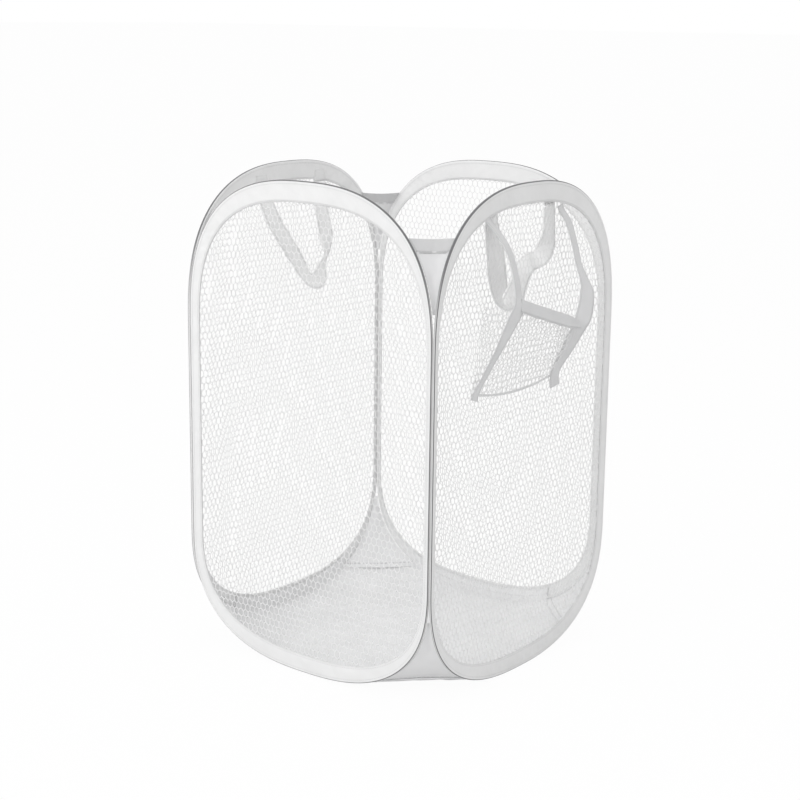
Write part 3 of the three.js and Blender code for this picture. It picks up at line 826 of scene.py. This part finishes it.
def casing_piece(panel, sizes):
    """Tape folded round the wire of one panel.

    The section starts at one inner edge, runs flat to the wire, goes round it on a circle and
    runs back, and its two edges close on the net."""
    along, height, inward, width, run, length = oval_line(
        CASING_SAMPLES, PANELS[panel], sizes.top_tape / MM, sizes.bottom_tape / MM
    )
    bend = np.radians(np.linspace(CASING_FOLD_ANGLE, 0, 6))
    flat = np.linspace(1, 0, 8)[:-1]
    bend_in, bend_out = -CASING_FOLD * np.cos(bend), CASING_FOLD * np.sin(bend)
    depth_flat = bend_in[0] + (width[:, None] - bend_in[0]) * flat
    settle = smooth(depth_flat, bend_in[0], np.minimum(CASING_SETTLE, 0.7 * width)[:, None])
    shut = CASING_SHUT * (1 - smooth(width[:, None] - depth_flat, 0, CASING_SHUT_REACH))
    out_flat = bend_out[0] + (CASING_OUT - bend_out[0]) * settle - shut
    front, back = (
        out_flat + casing_side(panel, run, length, width, depth_flat, flat, turn, seed)
        for turn, seed in ((1, 3), (-1, 8))
    )
    bend_in, bend_out = (np.broadcast_to(part, (CASING_SAMPLES, 6)) for part in (bend_in, bend_out))
    depth = np.concatenate([depth_flat, bend_in, bend_in[:, -2::-1], depth_flat[:, ::-1]], 1)
    out = np.concatenate([front, bend_out, -bend_out[:, -2::-1], -back[:, ::-1]], 1)
    if panel == "front":
        lap = smooth(along, LAP_START, LAP_START + LAP_RAMP) * (height < LAP_TOP)
        lap = lap * (1 - smooth(along, LAP_END - LAP_RAMP, LAP_END))
        out = out + np.sign(out) * LAP_HEIGHT * lap[:, None] * smooth(depth, 2.5, 5)
    across, up = inward[:, :1], inward[:, 1:]
    along, height = along[:, None], height[:, None]
    points = placed(panel, along + across * depth, height + up * depth, out)
    core = placed(panel, along + across * 1.5, height + up * 1.5, 0)
    step = np.hypot(np.diff(depth, axis=1), np.diff(out, axis=1))
    reach = np.concatenate([np.zeros((CASING_SAMPLES, 1)), np.cumsum(step, 1)], 1)
    fold = len(flat) + len(bend) - 1
    far = np.concatenate([run, [length]])[:, None]
    values = {"across": reach - reach[:, fold : fold + 1], "edge": np.minimum(reach, reach[:, -1:] - reach)}
    layers = {key: pairs(far, np.vstack([value, value[:1]])) for key, value in values.items()}
    piece = grid_piece(f"{panel}_tape", points, points - core, layers, round_rows=True)
    thicken(piece, sizes.tape_thickness / MM, -1)
    return piece, length


def lattice(low, high, pitch, rise, thread):
    """Flat net of staggered six-sided holes over a rectangle.

    Every thread is a quad and every knot a triangle. Upright threads stand at even steps, each
    row shifted by half a step, and slanted threads join their ends. The three corners of a knot
    are where the edges of its threads cross. Returns points, triangles and quads."""
    upright = UPRIGHT_SHARE * rise
    slope = np.hypot(pitch / 2, rise - upright)
    sine, cosine = pitch / 2 / slope, (rise - upright) / slope
    half = thread / 2
    columns = int((high[0] - low[0]) / pitch) + 2
    rows = int((high[1] - low[1]) / rise) + 2
    row, column = np.meshgrid(np.arange(rows), np.arange(columns), indexing="ij")
    x = low[0] + (column + 0.5 * (row % 2)) * pitch
    y = low[1] + row * rise
    shoulder = upright / 2 - half * (1 - cosine) / sine
    peak = upright / 2 + half / sine
    corners = [(half, shoulder), (0, peak), (-half, shoulder)]
    corners += [(half, -shoulder), (0, -peak), (-half, -shoulder)]
    points = np.stack([np.stack([x + dx, y + dy], -1) for dx, dy in corners], 2)
    number = np.arange(rows * columns * 6).reshape(rows, columns, 6)
    top_right, peaks, top_left, low_right, feet, low_left = np.moveaxis(number, -1, 0)
    knots = np.concatenate([faces_of(top_right, peaks, top_left), faces_of(low_left, feet, low_right)])
    threads = [faces_of(low_right, top_right, top_left, low_left)]
    for odd in (0, 1):
        rows_here, rows_above = slice(odd, rows - 1, 2), slice(odd + 1, rows, 2)
        here, above = (rows_here, slice(0, columns - 1)), (rows_above, slice(odd, columns - 1 + odd))
        threads.append(faces_of(top_right[here], feet[above], low_left[above], peaks[here]))
        here, above = (rows_here, slice(1 - odd, columns)), (rows_above, slice(0, columns - 1 + odd))
        threads.append(faces_of(top_left[here], peaks[here], low_right[above], feet[above]))
    return points.reshape(-1, 2), knots, np.concatenate(threads)


def trimmed(points, blocks, outside):
    """Drops faces whose corners are all outside, then points that no face uses."""
    return used_only(points, [faces[~outside[faces].all(1)] for faces in blocks])


def net_piece(panel, sizes):
    """Net of one panel: a flat lattice cut to the oval inside the tape, slack by under a millimetre."""
    low, high = (-HALF - NET_MARGIN, -NET_MARGIN), (HALF + NET_MARGIN, HEIGHT + NET_MARGIN)
    cell = (length / MM for length in (sizes.net_pitch, sizes.net_rise, sizes.net_thread))
    flat, knots, threads = lattice(low, high, *cell)
    number = list(PANELS).index(panel)
    x, y = flat.T
    sway, pull = ripples(y, x, 70, 41 + number), ripples(x, y, 90, 21 + number)
    along, height, outside = clamp_to_oval(x + NET_SWAY * sway, y + NET_PULL * pull, NET_INSET)
    flat, (knots, threads) = trimmed(np.stack([along, height], 1), [knots, threads], outside)
    along, height = flat.T
    held = clamp_to_oval(along * NET_HELD_SCALE, height, NET_HELD)[2]
    out = -NET_SLACK * (1 + ripples(along, height, 55, 61)) * np.where(held, 0.2, 1)
    points = placed(panel, along, height, np.clip(out, -2 * NET_SLACK, 0.1))
    piece = make_piece(f"{panel}_net", points, [threads, knots], outward(panel), smooth_faces=False)
    thicken(piece, NET_THICKNESS, 0)
    return piece


def floor_faces(x, y, over, spacing):
    """Quads and triangles of the floor's grid, given shares x and y and which points lie over the seam.

    A quad with one point over it keeps its other three, and a quad on a diagonal is cut along it."""
    number = np.arange(x.size).reshape(x.shape)
    quads = faces_of(number[:-1, :-1], number[1:, :-1], number[1:, 1:], number[:-1, 1:])
    over = over.ravel()[quads]
    whole, cut = (quads[over.sum(1) == count] for count in (0, 1))
    lost = over[over.sum(1) == 1].argmax(1)
    triangles = [np.take_along_axis(cut, (lost[:, None] + np.arange(1, 4)) % 4, 1)]
    mid_x, mid_y = x.ravel()[whole].mean(1), y.ravel()[whole].mean(1)
    split = np.abs(np.abs(mid_x) - np.abs(mid_y)) < spacing / 4
    rising = mid_x * mid_y > 0
    for chosen, corners in ((rising, ((0, 1, 2), (0, 2, 3))), (~rising, ((0, 1, 3), (1, 2, 3)))):
        triangles += [whole[split & chosen][:, three] for three in corners]
    return whole[~split], np.concatenate(triangles)


def floor_pieces(sizes):
    """Floor cloth, cut along its diagonals into the quarter at each panel.

    At shares x and y of the half widths it lies at the lower arc's height at |x| + |y| - 1, so
    every line from one panel to the next is straight at the corners. Creases add a raised
    sum of waves that fades at the sewn edges. Past each edge the cloth turns up along the tape's
    inner face by FLANGE. The four corners are cut at the seam."""
    spacing = 2 / FLOOR_CELLS
    line = np.concatenate([[-1 - spacing], np.linspace(-1, 1, FLOOR_CELLS + 1), [1 + spacing]])
    x, y = np.meshgrid(line, line, indexing="ij")
    past = FLANGE * ((np.abs(x) > 1) | (np.abs(y) > 1))
    x, y = np.clip(x, -1, 1), np.clip(y, -1, 1)
    share = np.abs(x) + np.abs(y) - 1
    off_x, off_y = 1 - np.abs(x), 1 - np.abs(y)
    edge = np.minimum(np.minimum(off_x * SHEET_X, off_y * SHEET_Y), (SEAM_SHARE - share) * SHEET_X / 2**0.5)
    crease = 1 - np.abs(ripples(x * SHEET_X, y * SHEET_Y, 85, 5))
    fine = 1 + ripples(x * SHEET_X, y * SHEET_Y, 26, 9)
    raised = FLOOR_CREASE * np.clip(crease, 0, 1) ** 2 + FLOOR_WRINKLE * fine
    height = np.where(share > FOLD_SHARE, lower_arc(np.maximum(share, 0)) - TUBE, 0)
    height = height + smooth(edge, 0, FLOOR_FADE) * raised + FLOOR_LIFT + past
    points = np.stack([x * SHEET_X, y * SHEET_Y, height], -1).reshape(-1, 3)
    over = (share > SEAM_SHARE + 1e-6) | ((off_x == 0) & (off_y == 0))
    faces = floor_faces(x, y, over, spacing)
    along = np.where(off_y < np.minimum(off_x, (SEAM_SHARE - share) / 2), x * SHEET_X, y * SHEET_Y)
    weave = pairs(x * (SHEET_X + past), y * (SHEET_Y + past)).reshape(-1, 2)
    seam = pairs(along, edge - past).reshape(-1, 2)
    directions = np.array([side[:2] for side in SIDES.values()]).T
    shares = pairs(x, y).reshape(-1, 2)
    nearest = [(shares[block].mean(1) @ directions).argmax(1) for block in faces]
    pieces = {}
    for number, panel in enumerate(SIDES):
        own = [block[side == number] for block, side in zip(faces, nearest)]
        uvs = {"weave": [weave[block] for block in own], "edge": [seam[block] for block in own]}
        piece = make_piece(f"{panel}_floor_cloth", *used_only(points, own), (0, 0, 1), uvs)
        sharpen_rim(piece)
        thicken(piece, sizes.cloth_thickness / MM, 1)
        pieces[panel] = piece
    return pieces


def corner_strip(name, corner, height, share, sag, thickness):
    """Cloth across one corner: at each height a line from one panel's arc to the next one's.

    The line bows inwards by sag times a sine of the way across, with fine creases that fade at
    its ends."""
    across, level = np.meshgrid(np.linspace(0, 1, CORNER_COLUMNS), height)
    flat, span = corner_lines(corner, across, share[:, None])
    direction = np.array(CORNERS[corner][:2])
    crease = ripples(across * 40, level, 24, 30 + list(CORNERS).index(corner))
    crease = crease * np.minimum(CORNER_CREASE, span * 0.03)
    bow = np.sin(np.pi * across) * (np.minimum(sag, 0.16 * span) + crease)
    flat = flat - direction / 2**0.5 * bow[..., None]
    points = np.concatenate([flat, level[..., None]], -1)
    run = (across - 0.5) * span
    layers = {"weave": pairs(run, level), "edge": pairs(run, np.abs(level - height[0]))}
    piece = grid_piece(name, points, np.broadcast_to([*direction, 0.0], points.shape), layers)
    thicken(piece, thickness, -1)
    return piece


def hem_piece(name, corner):
    """Folded hem across one corner: a flat loop of cloth, round at its top fold and open below.

    Its section is a hairpin carried along the straight line between the two panels, with a droop
    and a wave that fade at its ends."""
    across = np.linspace(0, 1, 33)[:, None]
    section_out, section_up = hairpin(HEM_FOLD, HEM_START, HEM_HEIGHT - HEM_FOLD_DROP, 6)
    height = HEM_TOP - HEM_HEIGHT + section_up
    flat, span = corner_lines(corner, across, upper_share(height)[None, :])
    across, height = np.broadcast_arrays(across, height)
    arch = np.sin(np.pi * across)
    wave = HEM_WAVE * ripples(across * 50, height, 18, 70 + list(CORNERS).index(corner)) * arch
    out = section_out - HEM_SET_BACK - 0.05 * span * arch + wave
    flat = flat + np.array(CORNERS[corner][:2]) / 2**0.5 * out[..., None]
    points = np.concatenate([flat, (height - HEM_DROOP * arch)[..., None]], -1)
    level = np.full((len(flat), 1, 1), height[0].mean())
    middle = np.concatenate([flat.mean(1, keepdims=True), level], -1)
    run = (across - 0.5) * span
    layers = {"weave": pairs(run, section_up), "edge": pairs(run, section_up - HEM_START)}
    piece = grid_piece(name, points, points - middle, layers)
    thicken(piece, HEM_THICKNESS, -1)
    return piece


def strap_piece(panel, table, width):
    """Strap of a handle along a table of places: along the panel, height, distance inwards and roll.

    The strap lies in the panel's plane at roll 0 and stands square to it at roll 90, as it rolls
    over where its line turns."""
    line = spline(table, 150)
    centre = placed(panel, line[:, 0], line[:, 1], -line[:, 2])
    level = np.cross(outward(panel), np.gradient(centre, axis=0))
    piece = rolled_ribbon(f"{panel}_strap", centre, level, -line[:, 3], width / 2, STRAP_CUP)
    thicken(piece, STRAP_THICKNESS, 0)
    return piece


def in_panel(panel, node):
    """Lowest and highest corner of a CAD node in a panel's own coordinates, in millimetres."""
    low, high = (np.array(corner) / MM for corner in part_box(node))
    near, far = (low[0], high[0]) if panel == "right" else (-high[0], -low[0])
    return (low[1], low[2], near - SIDE_PLANE), (high[1], high[2], far - SIDE_PLANE)


def patch_piece(name, panel, low, high):
    """Sewn patch inside a panel, between two corners in the panel's coordinates.

    Its face is crowned by a product of sines, and its rim slopes down into the tape over PATCH_RIM."""
    across, up = np.meshgrid(np.linspace(0, 1, 15), np.linspace(0, 1, 11), indexing="ij")
    wide, tall = high[0] - low[0], high[1] - low[1]
    side, end = np.minimum(across, 1 - across) * wide, np.minimum(up, 1 - up) * tall
    rim = np.minimum(side, end)
    crown = PATCH_CROWN * (np.sin(np.pi * across) * np.sin(np.pi * up)) ** 0.5
    lift = (PATCH_THICKNESS + PATCH_SINK) * smooth(rim, 0, PATCH_RIM) - PATCH_SINK + crown
    points = placed(panel, low[0] + wide * across, low[1] + tall * up, high[2] - lift)
    run = np.where(side < end, up * tall, across * wide)
    layers = {"weave": pairs(across * wide, up * tall), "edge": pairs(run, rim)}
    piece = grid_piece(name, points, -outward(panel), layers)
    thicken(piece, PATCH_WALL, -1)
    return piece


def pocket_tape(name):
    """Tape of the pocket: out of the rim's seam, out to the mouth in a bow and back down the bag's corner."""
    line = spline(POCKET_TAPES[name], 130)
    centre = placed("right", line[:, 0], line[:, 1], line[:, 2])
    level = np.array([0.0, 1.0, 0.0])
    piece = rolled_ribbon(name, centre, level, line[:, 3], line[:, 4] / 2, POCKET_TAPE_CUP)
    thicken(piece, POCKET_TAPE_THICKNESS, 0)
    return piece


def pocket_rim(along):
    """Height of the pocket's mouth at a place along the panel: a straight slope between its corners."""
    share = np.clip((along - POCKET_FRONT) / (POCKET_BACK - POCKET_FRONT), 0, 1)
    return POCKET_MOUTH - POCKET_SLOPE * share


def pocket_foot(along):
    """Height of the pocket's bottom seam: a shallow parabola, lowest a little in front of its middle."""
    off = (along - POCKET_FOOT_MIDDLE) / POCKET_FOOT_REACH
    return POCKET_BOTTOM - POCKET_FOOT_DROP + POCKET_FOOT_RISE * off**2


def pocket_net(sizes):
    """Net bag of the pocket: a lattice wrapped round a front and two cheeks.

    The bag's depth falls in a nearly straight line from the mouth to the bottom seam. Past each
    front corner the net turns back to the panel, and its depth shrinks by the share of the cheek
    passed."""
    pitch = sizes.pocket_pitch / MM
    rise = pitch * POCKET_NET_RISE
    half, centre = (POCKET_BACK - POCKET_FRONT) / 2, (POCKET_BACK + POCKET_FRONT) / 2
    reach = half + POCKET_OFF
    low, high = (-reach - 2 * pitch, POCKET_BOTTOM - 6 - rise), (reach + 2 * pitch, POCKET_MOUTH + rise)
    flat, knots, threads = lattice(low, high, pitch, rise, sizes.net_thread / MM * POCKET_YARN)

    def foot(run):
        return pocket_foot(centre + np.clip(run, -half, half) * 1.08 - 9)

    run, height = flat.T
    top, bottom = pocket_rim(centre + run) - POCKET_NET_TOP, foot(run)
    outside = (np.abs(run) > reach) | (height > top) | (height < bottom)
    flat = np.stack([np.clip(run, -reach, reach), np.clip(height, bottom, top)], 1)
    flat, (knots, threads) = trimmed(flat, [knots, threads], outside)
    run, height = flat.T
    rim = pocket_rim(centre + run)
    share = np.clip((rim - height) / (rim - foot(run)), 0, 1)
    depth = POCKET_NEAR + POCKET_OFF * (1 - share) ** 1.05
    past = np.clip((np.abs(run) - half) / POCKET_OFF, 0, 1)
    front = np.clip(run, -half, half) / half
    out = np.where(past > 0, POCKET_CHEEK_FOOT + (depth - POCKET_CHEEK_FOOT) * (1 - past), depth)
    sag = POCKET_SAG * np.sin(np.pi * share) * (1 - front**2) * (past == 0)
    spread = np.where(run < 0, -POCKET_FRONT_SPREAD, POCKET_BACK_SPREAD) * np.abs(front) * share
    along = centre + front * half + np.sign(run) * (spread + past * POCKET_CHEEK_SPREAD)
    puff = POCKET_PUFF * ripples(run, height, 40, 90) * smooth(out, 2.5, 12)
    points = placed("right", along, height, out - sag + puff)
    piece = make_piece("pocket_net", points, [threads, knots], (1, 0, 0), smooth_faces=False)
    thicken(piece, NET_THICKNESS, 0)
    return piece


def pocket_binding():
    """Narrow rolled edge along the bag's bottom seam, carried along the seam's parabola."""
    along = np.linspace(POCKET_FRONT + POCKET_FRONT_SPREAD + 4, POCKET_BACK + POCKET_BACK_SPREAD - 2, 80)
    centre = placed("right", along, pocket_foot(along), BINDING_OUT)
    up, face = (np.broadcast_to(axis, centre.shape) for axis in ([0.0, 0.0, 1.0], [1.0, 0.0, 0.0]))
    piece = ribbon("pocket_binding", centre, up, face, BINDING_WIDTH / 2, BINDING_CUP)
    thicken(piece, BINDING_THICKNESS, 0)
    return piece


def pocket_hem():
    """Hem across the pocket's mouth: a hairpin fold of tape that bellies outwards.

    It follows the mouth's slope, dips in the middle and is pressed narrow under the back tape."""
    share = np.linspace(0, 1, 61)
    section_out, section_up = hairpin(POCKET_HEM_FOLD, -POCKET_HEM_HALF, POCKET_HEM_TOP, 5)
    start, stop = POCKET_FRONT + POCKET_HEM_INSET, POCKET_BACK - POCKET_HEM_INSET
    along = start + (stop - start) * share
    arch = np.sin(np.pi * share)
    wave = POCKET_HEM_WAVE * ripples(along, 0 * along, 34, 12)
    out = POCKET_FACE + POCKET_OFF - POCKET_HEM_BACK + POCKET_HEM_BELLY * arch + wave
    middle = pocket_rim(along) - POCKET_HEM_DIP * arch
    pressed = (1 - 0.4 * smooth(share, 0.72, 1))[:, None]
    core = placed("right", along, middle, out)[:, None]
    along, middle, out = along[:, None], middle[:, None], out[:, None]
    points = placed("right", along, middle + section_up * pressed, out + section_out)
    layers = {"weave": pairs(along, section_up), "edge": pairs(along, section_up + POCKET_HEM_HALF)}
    piece = grid_piece("pocket_hem", points, points - core, layers)
    thicken(piece, HEM_THICKNESS, -1)
    return piece


# Operators


def settings():
    """The scene's two groups of settings."""
    return bpy.context.scene.hamper_sizes, bpy.context.scene.hamper_colours


class HAMPER_OT_finishes(bpy.types.Operator):
    """Make every finish of the hamper"""

    bl_idname = "hamper.finishes"
    bl_label = "Finishes"

    def execute(self, context):
        _, colours = settings()
        tape_material(colours)
        net_material("panel net yarn", colours.net, 0.7)
        net_material("pocket net yarn", colours.net, 0.75)
        sheet_material("floor cloth", colours.cloth, colours.stitch, -9.0, 0.15)
        sheet_material("lower corner cloth", colours.cloth, colours.stitch, 4.0, 0.35)
        sheet_material("upper corner cloth", colours.corner, colours.stitch, 2.0, 0.3)
        strap_material("hem cloth", colours.hem, colours.stitch, 1.6)
        strap_material("pocket tape weave", colours.strap, colours.stitch, 2.2)
        # The carrying straps' colour holds painted light that reaches them inside the hamper
        strap_material("strap weave", colours.handle, colours.stitch, 2.2)
        strap_material("patch cloth", colours.tape, [channel * 0.85 for channel in colours.tape], 1.6)
        steel_material("spring steel", colours.steel, 0.35)
        steel_material("crimp sleeve", colours.crimp, 0.3)
        return {"FINISHED"}


class HAMPER_OT_steel(bpy.types.Operator):
    """Finish the spring wires and their crimp sleeves, which keep the solid model's shape"""

    bl_idname = "hamper.steel"
    bl_label = "Wires and sleeves"

    def execute(self, context):
        for panel in PANELS:
            for node, material in (("spring_wire", "spring steel"), ("wire_ferrule", "crimp sleeve")):
                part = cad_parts[f"{panel}_{node}"]
                part.data.materials.clear()
                part.data.materials.append(bpy.data.materials[material])
        return {"FINISHED"}


class HAMPER_OT_tapes(bpy.types.Operator):
    """Make the folded tape round each panel"""

    bl_idname = "hamper.tapes"
    bl_label = "Edge tapes"

    def execute(self, context):
        sizes, _ = settings()
        for panel in PANELS:
            piece, length = casing_piece(panel, sizes)
            dress(piece, "casing tape cloth", "casing_tape", f"{panel}_edge_casing")
            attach(piece, f"{panel}_panel")
        return {"FINISHED"}


class HAMPER_OT_nets(bpy.types.Operator):
    """Make the net of each panel"""

    bl_idname = "hamper.nets"
    bl_label = "Panel nets"

    def execute(self, context):
        sizes, _ = settings()
        for panel in PANELS:
            piece = net_piece(panel, sizes)
            dress(piece, "panel net yarn", "white_mesh", f"{panel}_mesh_panel")
            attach(piece, f"{panel}_panel")
        return {"FINISHED"}


class HAMPER_OT_floor(bpy.types.Operator):
    """Make the floor cloth, which folds up to the lower arcs"""

    bl_idname = "hamper.floor"
    bl_label = "Floor cloth"

    def execute(self, context):
        sizes, _ = settings()
        for panel, piece in floor_pieces(sizes).items():
            dress(piece, "floor cloth", "grey_sheet", "base_sheet")
            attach(piece, f"{panel}_panel")
            flatten(piece)
        return {"FINISHED"}


class HAMPER_OT_corners(bpy.types.Operator):
    """Make the lower and upper cloth of each corner, and the hem of the upper one"""

    bl_idname = "hamper.corners"
    bl_label = "Corner cloths"

    def execute(self, context):
        sizes, _ = settings()
        thickness = sizes.cloth_thickness / MM
        seam, top = lower_arc(SEAM_SHARE) - SEAM_GAP, lower_arc(CORNER_SHARE) - ARC_GAP
        low = np.linspace(seam, top, CORNER_ROWS)
        peak = TOP_BASE + TOP_RISE * cap_rise(CORNER_SHARE, TOP_ROUND)
        high = np.linspace(HEM_TOP - HEM_HEIGHT + HEM_LAP, peak, CORNER_ROWS)
        low_share, high_share = lower_share(low + ARC_GAP), upper_share(high)
        for corner in CORNERS:
            lower = corner_strip(f"{corner}_lower_cloth", corner, low, low_share, LOWER_SAG, thickness)
            upper = corner_strip(f"{corner}_upper_cloth", corner, high, high_share, UPPER_SAG, thickness)
            hem = hem_piece(f"{corner}_hem", corner)
            dress(lower, "lower corner cloth", "grey_sheet", f"{corner}_lower_gusset")
            dress(upper, "upper corner cloth", "grey_sheet", f"{corner}_upper_gusset")
            dress(hem, "hem cloth", "grey_sheet", f"{corner}_gusset_hem")
            for piece, tall in ((lower, np.ptp(low)), (upper, np.ptp(high)), (hem, 2 * HEM_HEIGHT)):
                if corner == OPEN_CORNER:
                    self.hold_open(piece, tall * MM)
                else:
                    self.hold(piece, tall * MM, *CORNERS[corner])
        return {"FINISHED"}

    def declare(self, piece, tall, tapes):
        """Works out a corner piece's width and area as a flat sheet, and keeps neither. tapes is not used."""
        area = shown_area(piece)
        wide = max(NARROWEST, area / tall * 1.02)
        area = max(area, LEAST_SHARE * wide * tall)

    def hold_open(self, piece, tall):
        """Parts a piece of the open corner into two halves, each attached to its own panel, and removes the
        whole piece.
        """
        for panel in ("left", "back"):
            half = half_piece(piece, panel)
            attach(half, f"{panel}_panel")
            flatten(half)
            self.declare(half, tall, [f"{panel}_tape"])
        bpy.data.objects.remove(piece)

    def hold(self, piece, tall, x, y, first, last):
        """Bakes a corner piece's transform into its mesh."""
        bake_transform(piece)
        self.declare(piece, tall, [body.replace("_panel", "_tape") for body in (first, last)])


class HAMPER_OT_straps(bpy.types.Operator):
    """Make the two carrying straps and the patches that hold them"""

    bl_idname = "hamper.straps"
    bl_label = "Carrying straps"

    def execute(self, context):
        sizes, _ = settings()
        for panel, table in STRAP_PLACES.items():
            strap = strap_piece(panel, table, sizes.strap_width / MM)
            dress(strap, "strap weave", "grey_strap", f"{panel}_handle")
            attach(strap, f"{panel}_handle")
            flatten(strap)
            for end in ("front", "back"):
                node = f"{panel}_handle_{end}_tab"
                low, high = in_panel(panel, node)
                patch = patch_piece(f"{panel}_strap_{end}_patch", panel, low, high)
                dress(patch, "patch cloth", "grey_strap", node)
                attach(patch, f"{panel}_panel")
        return {"FINISHED"}


class HAMPER_OT_pocket(bpy.types.Operator):
    """Make the net pocket on the right panel, with its tapes, hem and binding"""

    bl_idname = "hamper.pocket"
    bl_label = "Side pocket"

    def execute(self, context):
        sizes, _ = settings()
        front, back = (pocket_tape(name) for name in POCKET_TAPES)
        bag, hem, binding = pocket_net(sizes), pocket_hem(), pocket_binding()
        dress(front, "pocket tape weave", "grey_strap", "pocket_front_tape")
        dress(back, "pocket tape weave", "grey_strap", "pocket_back_tape")
        dress(bag, "pocket net yarn", "white_mesh", "pocket_mesh_bag")
        dress(hem, "pocket tape weave", "grey_strap", "pocket_mouth_hem")
        dress(binding, "pocket tape weave", "grey_strap", "pocket_bottom_binding")
        for piece in (front, back, bag, hem, binding):
            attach(piece, "right_panel")
        return {"FINISHED"}


class HAMPER_OT_stage(bpy.types.Operator):
    """Make the pale floor, the soft light and the camera"""

    bl_idname = "hamper.stage"
    bl_label = "Stage"

    def execute(self, context):
        scene = context.scene
        self.floor()
        self.world(scene)
        for name, lamp in LAMPS.items():
            self.lamp(name, *lamp)
        camera = linked("camera", bpy.data.cameras.new("camera"))
        back = (
            np.sin(CAMERA_AZIMUTH) * np.cos(CAMERA_ELEVATION),
            -np.cos(CAMERA_AZIMUTH) * np.cos(CAMERA_ELEVATION),
            np.sin(CAMERA_ELEVATION),
        )
        camera.matrix_world = self.aimed(CAMERA_SPOT, back, CAMERA_ROLL)
        camera.data.sensor_width = SENSOR
        camera.data.lens = SENSOR * CAMERA_FOCAL / PHOTO_SIZE
        camera.data.clip_end = VIEW_LENGTH
        scene.camera = camera
        scene.view_settings.view_transform = "Standard"
        return {"FINISHED"}

    def aimed(self, spot, back, roll=0.0):
        """Matrix of a lamp or camera at a spot, which looks away from back and is rolled by an angle."""
        back = unit(np.array(back))
        level = unit(np.cross([0, 0, 1], back))
        high = np.cross(back, level)
        right = level * np.cos(roll) + high * np.sin(roll)
        up = high * np.cos(roll) - level * np.sin(roll)
        return Matrix([*np.stack([right, up, back, spot], 1).tolist(), (0, 0, 0, 1)])

    def seen(self, tree):
        """1 for rays that show the background: from the camera, in gloss or through glass."""
        path = add_node(tree, "ShaderNodeLightPath")
        rays = ("Is Camera Ray", "Is Glossy Ray", "Is Transmission Ray")
        return largest(tree, *(path.outputs[ray] for ray in rays))

    def mixed(self, tree, factor, first, second, output):
        """Mixes two shaders by a factor into a new output node."""
        mix = add_node(tree, "ShaderNodeMixShader")
        for socket, value in zip(mix.inputs, (factor, first.outputs[0], second.outputs[0])):
            tree.links.new(value, socket)
        tree.links.new(mix.outputs[0], add_node(tree, output).inputs[0])

    def floor(self):
        """White floor that keeps a faint shadow, so wide that no edge shows."""
        mesh = bpy.data.meshes.new("floor")
        corners = [(x * STAGE_REACH, y * STAGE_REACH, -STAGE_DROP) for x, y in STAGE_CORNERS]
        mesh.from_pydata(corners, [], [(0, 1, 2, 3)])
        linked("floor", mesh)
        made = bpy.data.materials.new("stage floor")
        made.use_nodes = True
        tree = made.node_tree
        tree.nodes.clear()
        diffuse = add_node(tree, "ShaderNodeBsdfDiffuse", Color=(0.82, 0.82, 0.82, 1))
        white = add_node(tree, "ShaderNodeEmission", Color=(1, 1, 1, 1), Strength=1.0)
        factor = times(tree, self.seen(tree), 0.965)
        self.mixed(tree, factor, diffuse, white, "ShaderNodeOutputMaterial")
        mesh.materials.append(made)

    def world(self, scene):
        """Even pale surroundings, plain white where the camera sees them."""
        scene.world = bpy.data.worlds.new("stage world")
        scene.world.use_nodes = True
        tree = scene.world.node_tree
        tree.nodes.clear()
        soft = add_node(tree, "ShaderNodeBackground", Color=(1, 1, 1, 1), Strength=0.72)
        white = add_node(tree, "ShaderNodeBackground", Color=(1, 1, 1, 1), Strength=1.0)
        self.mixed(tree, self.seen(tree), soft, white, "ShaderNodeOutputWorld")

    def lamp(self, name, spot, size, power):
        """A square area lamp that looks at the middle of the hamper."""
        lamp = linked(name, bpy.data.lights.new(name, "AREA"))
        lamp.data.size = size
        lamp.data.energy = power
        lamp.matrix_world = self.aimed(spot, np.array(spot) - LAMP_TARGET)


class HAMPER_PT_panel(bpy.types.Panel):
    """Buttons for each group of pieces, with their sizes and colours"""

    bl_idname = "HAMPER_PT_panel"
    bl_label = "Pop up laundry hamper"
    bl_space_type = "VIEW_3D"
    bl_region_type = "UI"
    bl_category = "Hamper"

    def draw(self, context):
        for operator in OPERATORS:
            self.layout.operator(operator.bl_idname)
        for group in (context.scene.hamper_sizes, context.scene.hamper_colours):
            box = self.layout.box()
            for key in group.__annotations__:
                box.prop(group, key)


OPERATORS = (
    HAMPER_OT_finishes,
    HAMPER_OT_steel,
    HAMPER_OT_tapes,
    HAMPER_OT_nets,
    HAMPER_OT_floor,
    HAMPER_OT_corners,
    HAMPER_OT_straps,
    HAMPER_OT_pocket,
    HAMPER_OT_stage,
)
CLASSES = (HamperSizes, HamperColours, *OPERATORS, HAMPER_PT_panel)


def register():
    for cls in CLASSES:
        bpy.utils.register_class(cls)
    bpy.types.Scene.hamper_sizes = bpy.props.PointerProperty(type=HamperSizes)
    bpy.types.Scene.hamper_colours = bpy.props.PointerProperty(type=HamperColours)


def unregister():
    del bpy.types.Scene.hamper_colours
    del bpy.types.Scene.hamper_sizes
    for cls in reversed(CLASSES):
        bpy.utils.unregister_class(cls)


def main():
    """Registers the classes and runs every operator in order."""
    register()
    bpy.ops.hamper.finishes()
    bpy.ops.hamper.steel()
    bpy.ops.hamper.tapes()
    bpy.ops.hamper.nets()
    bpy.ops.hamper.floor()
    bpy.ops.hamper.corners()
    bpy.ops.hamper.straps()
    bpy.ops.hamper.pocket()
    bpy.ops.hamper.stage()


if __name__ == "__main__":
    main()
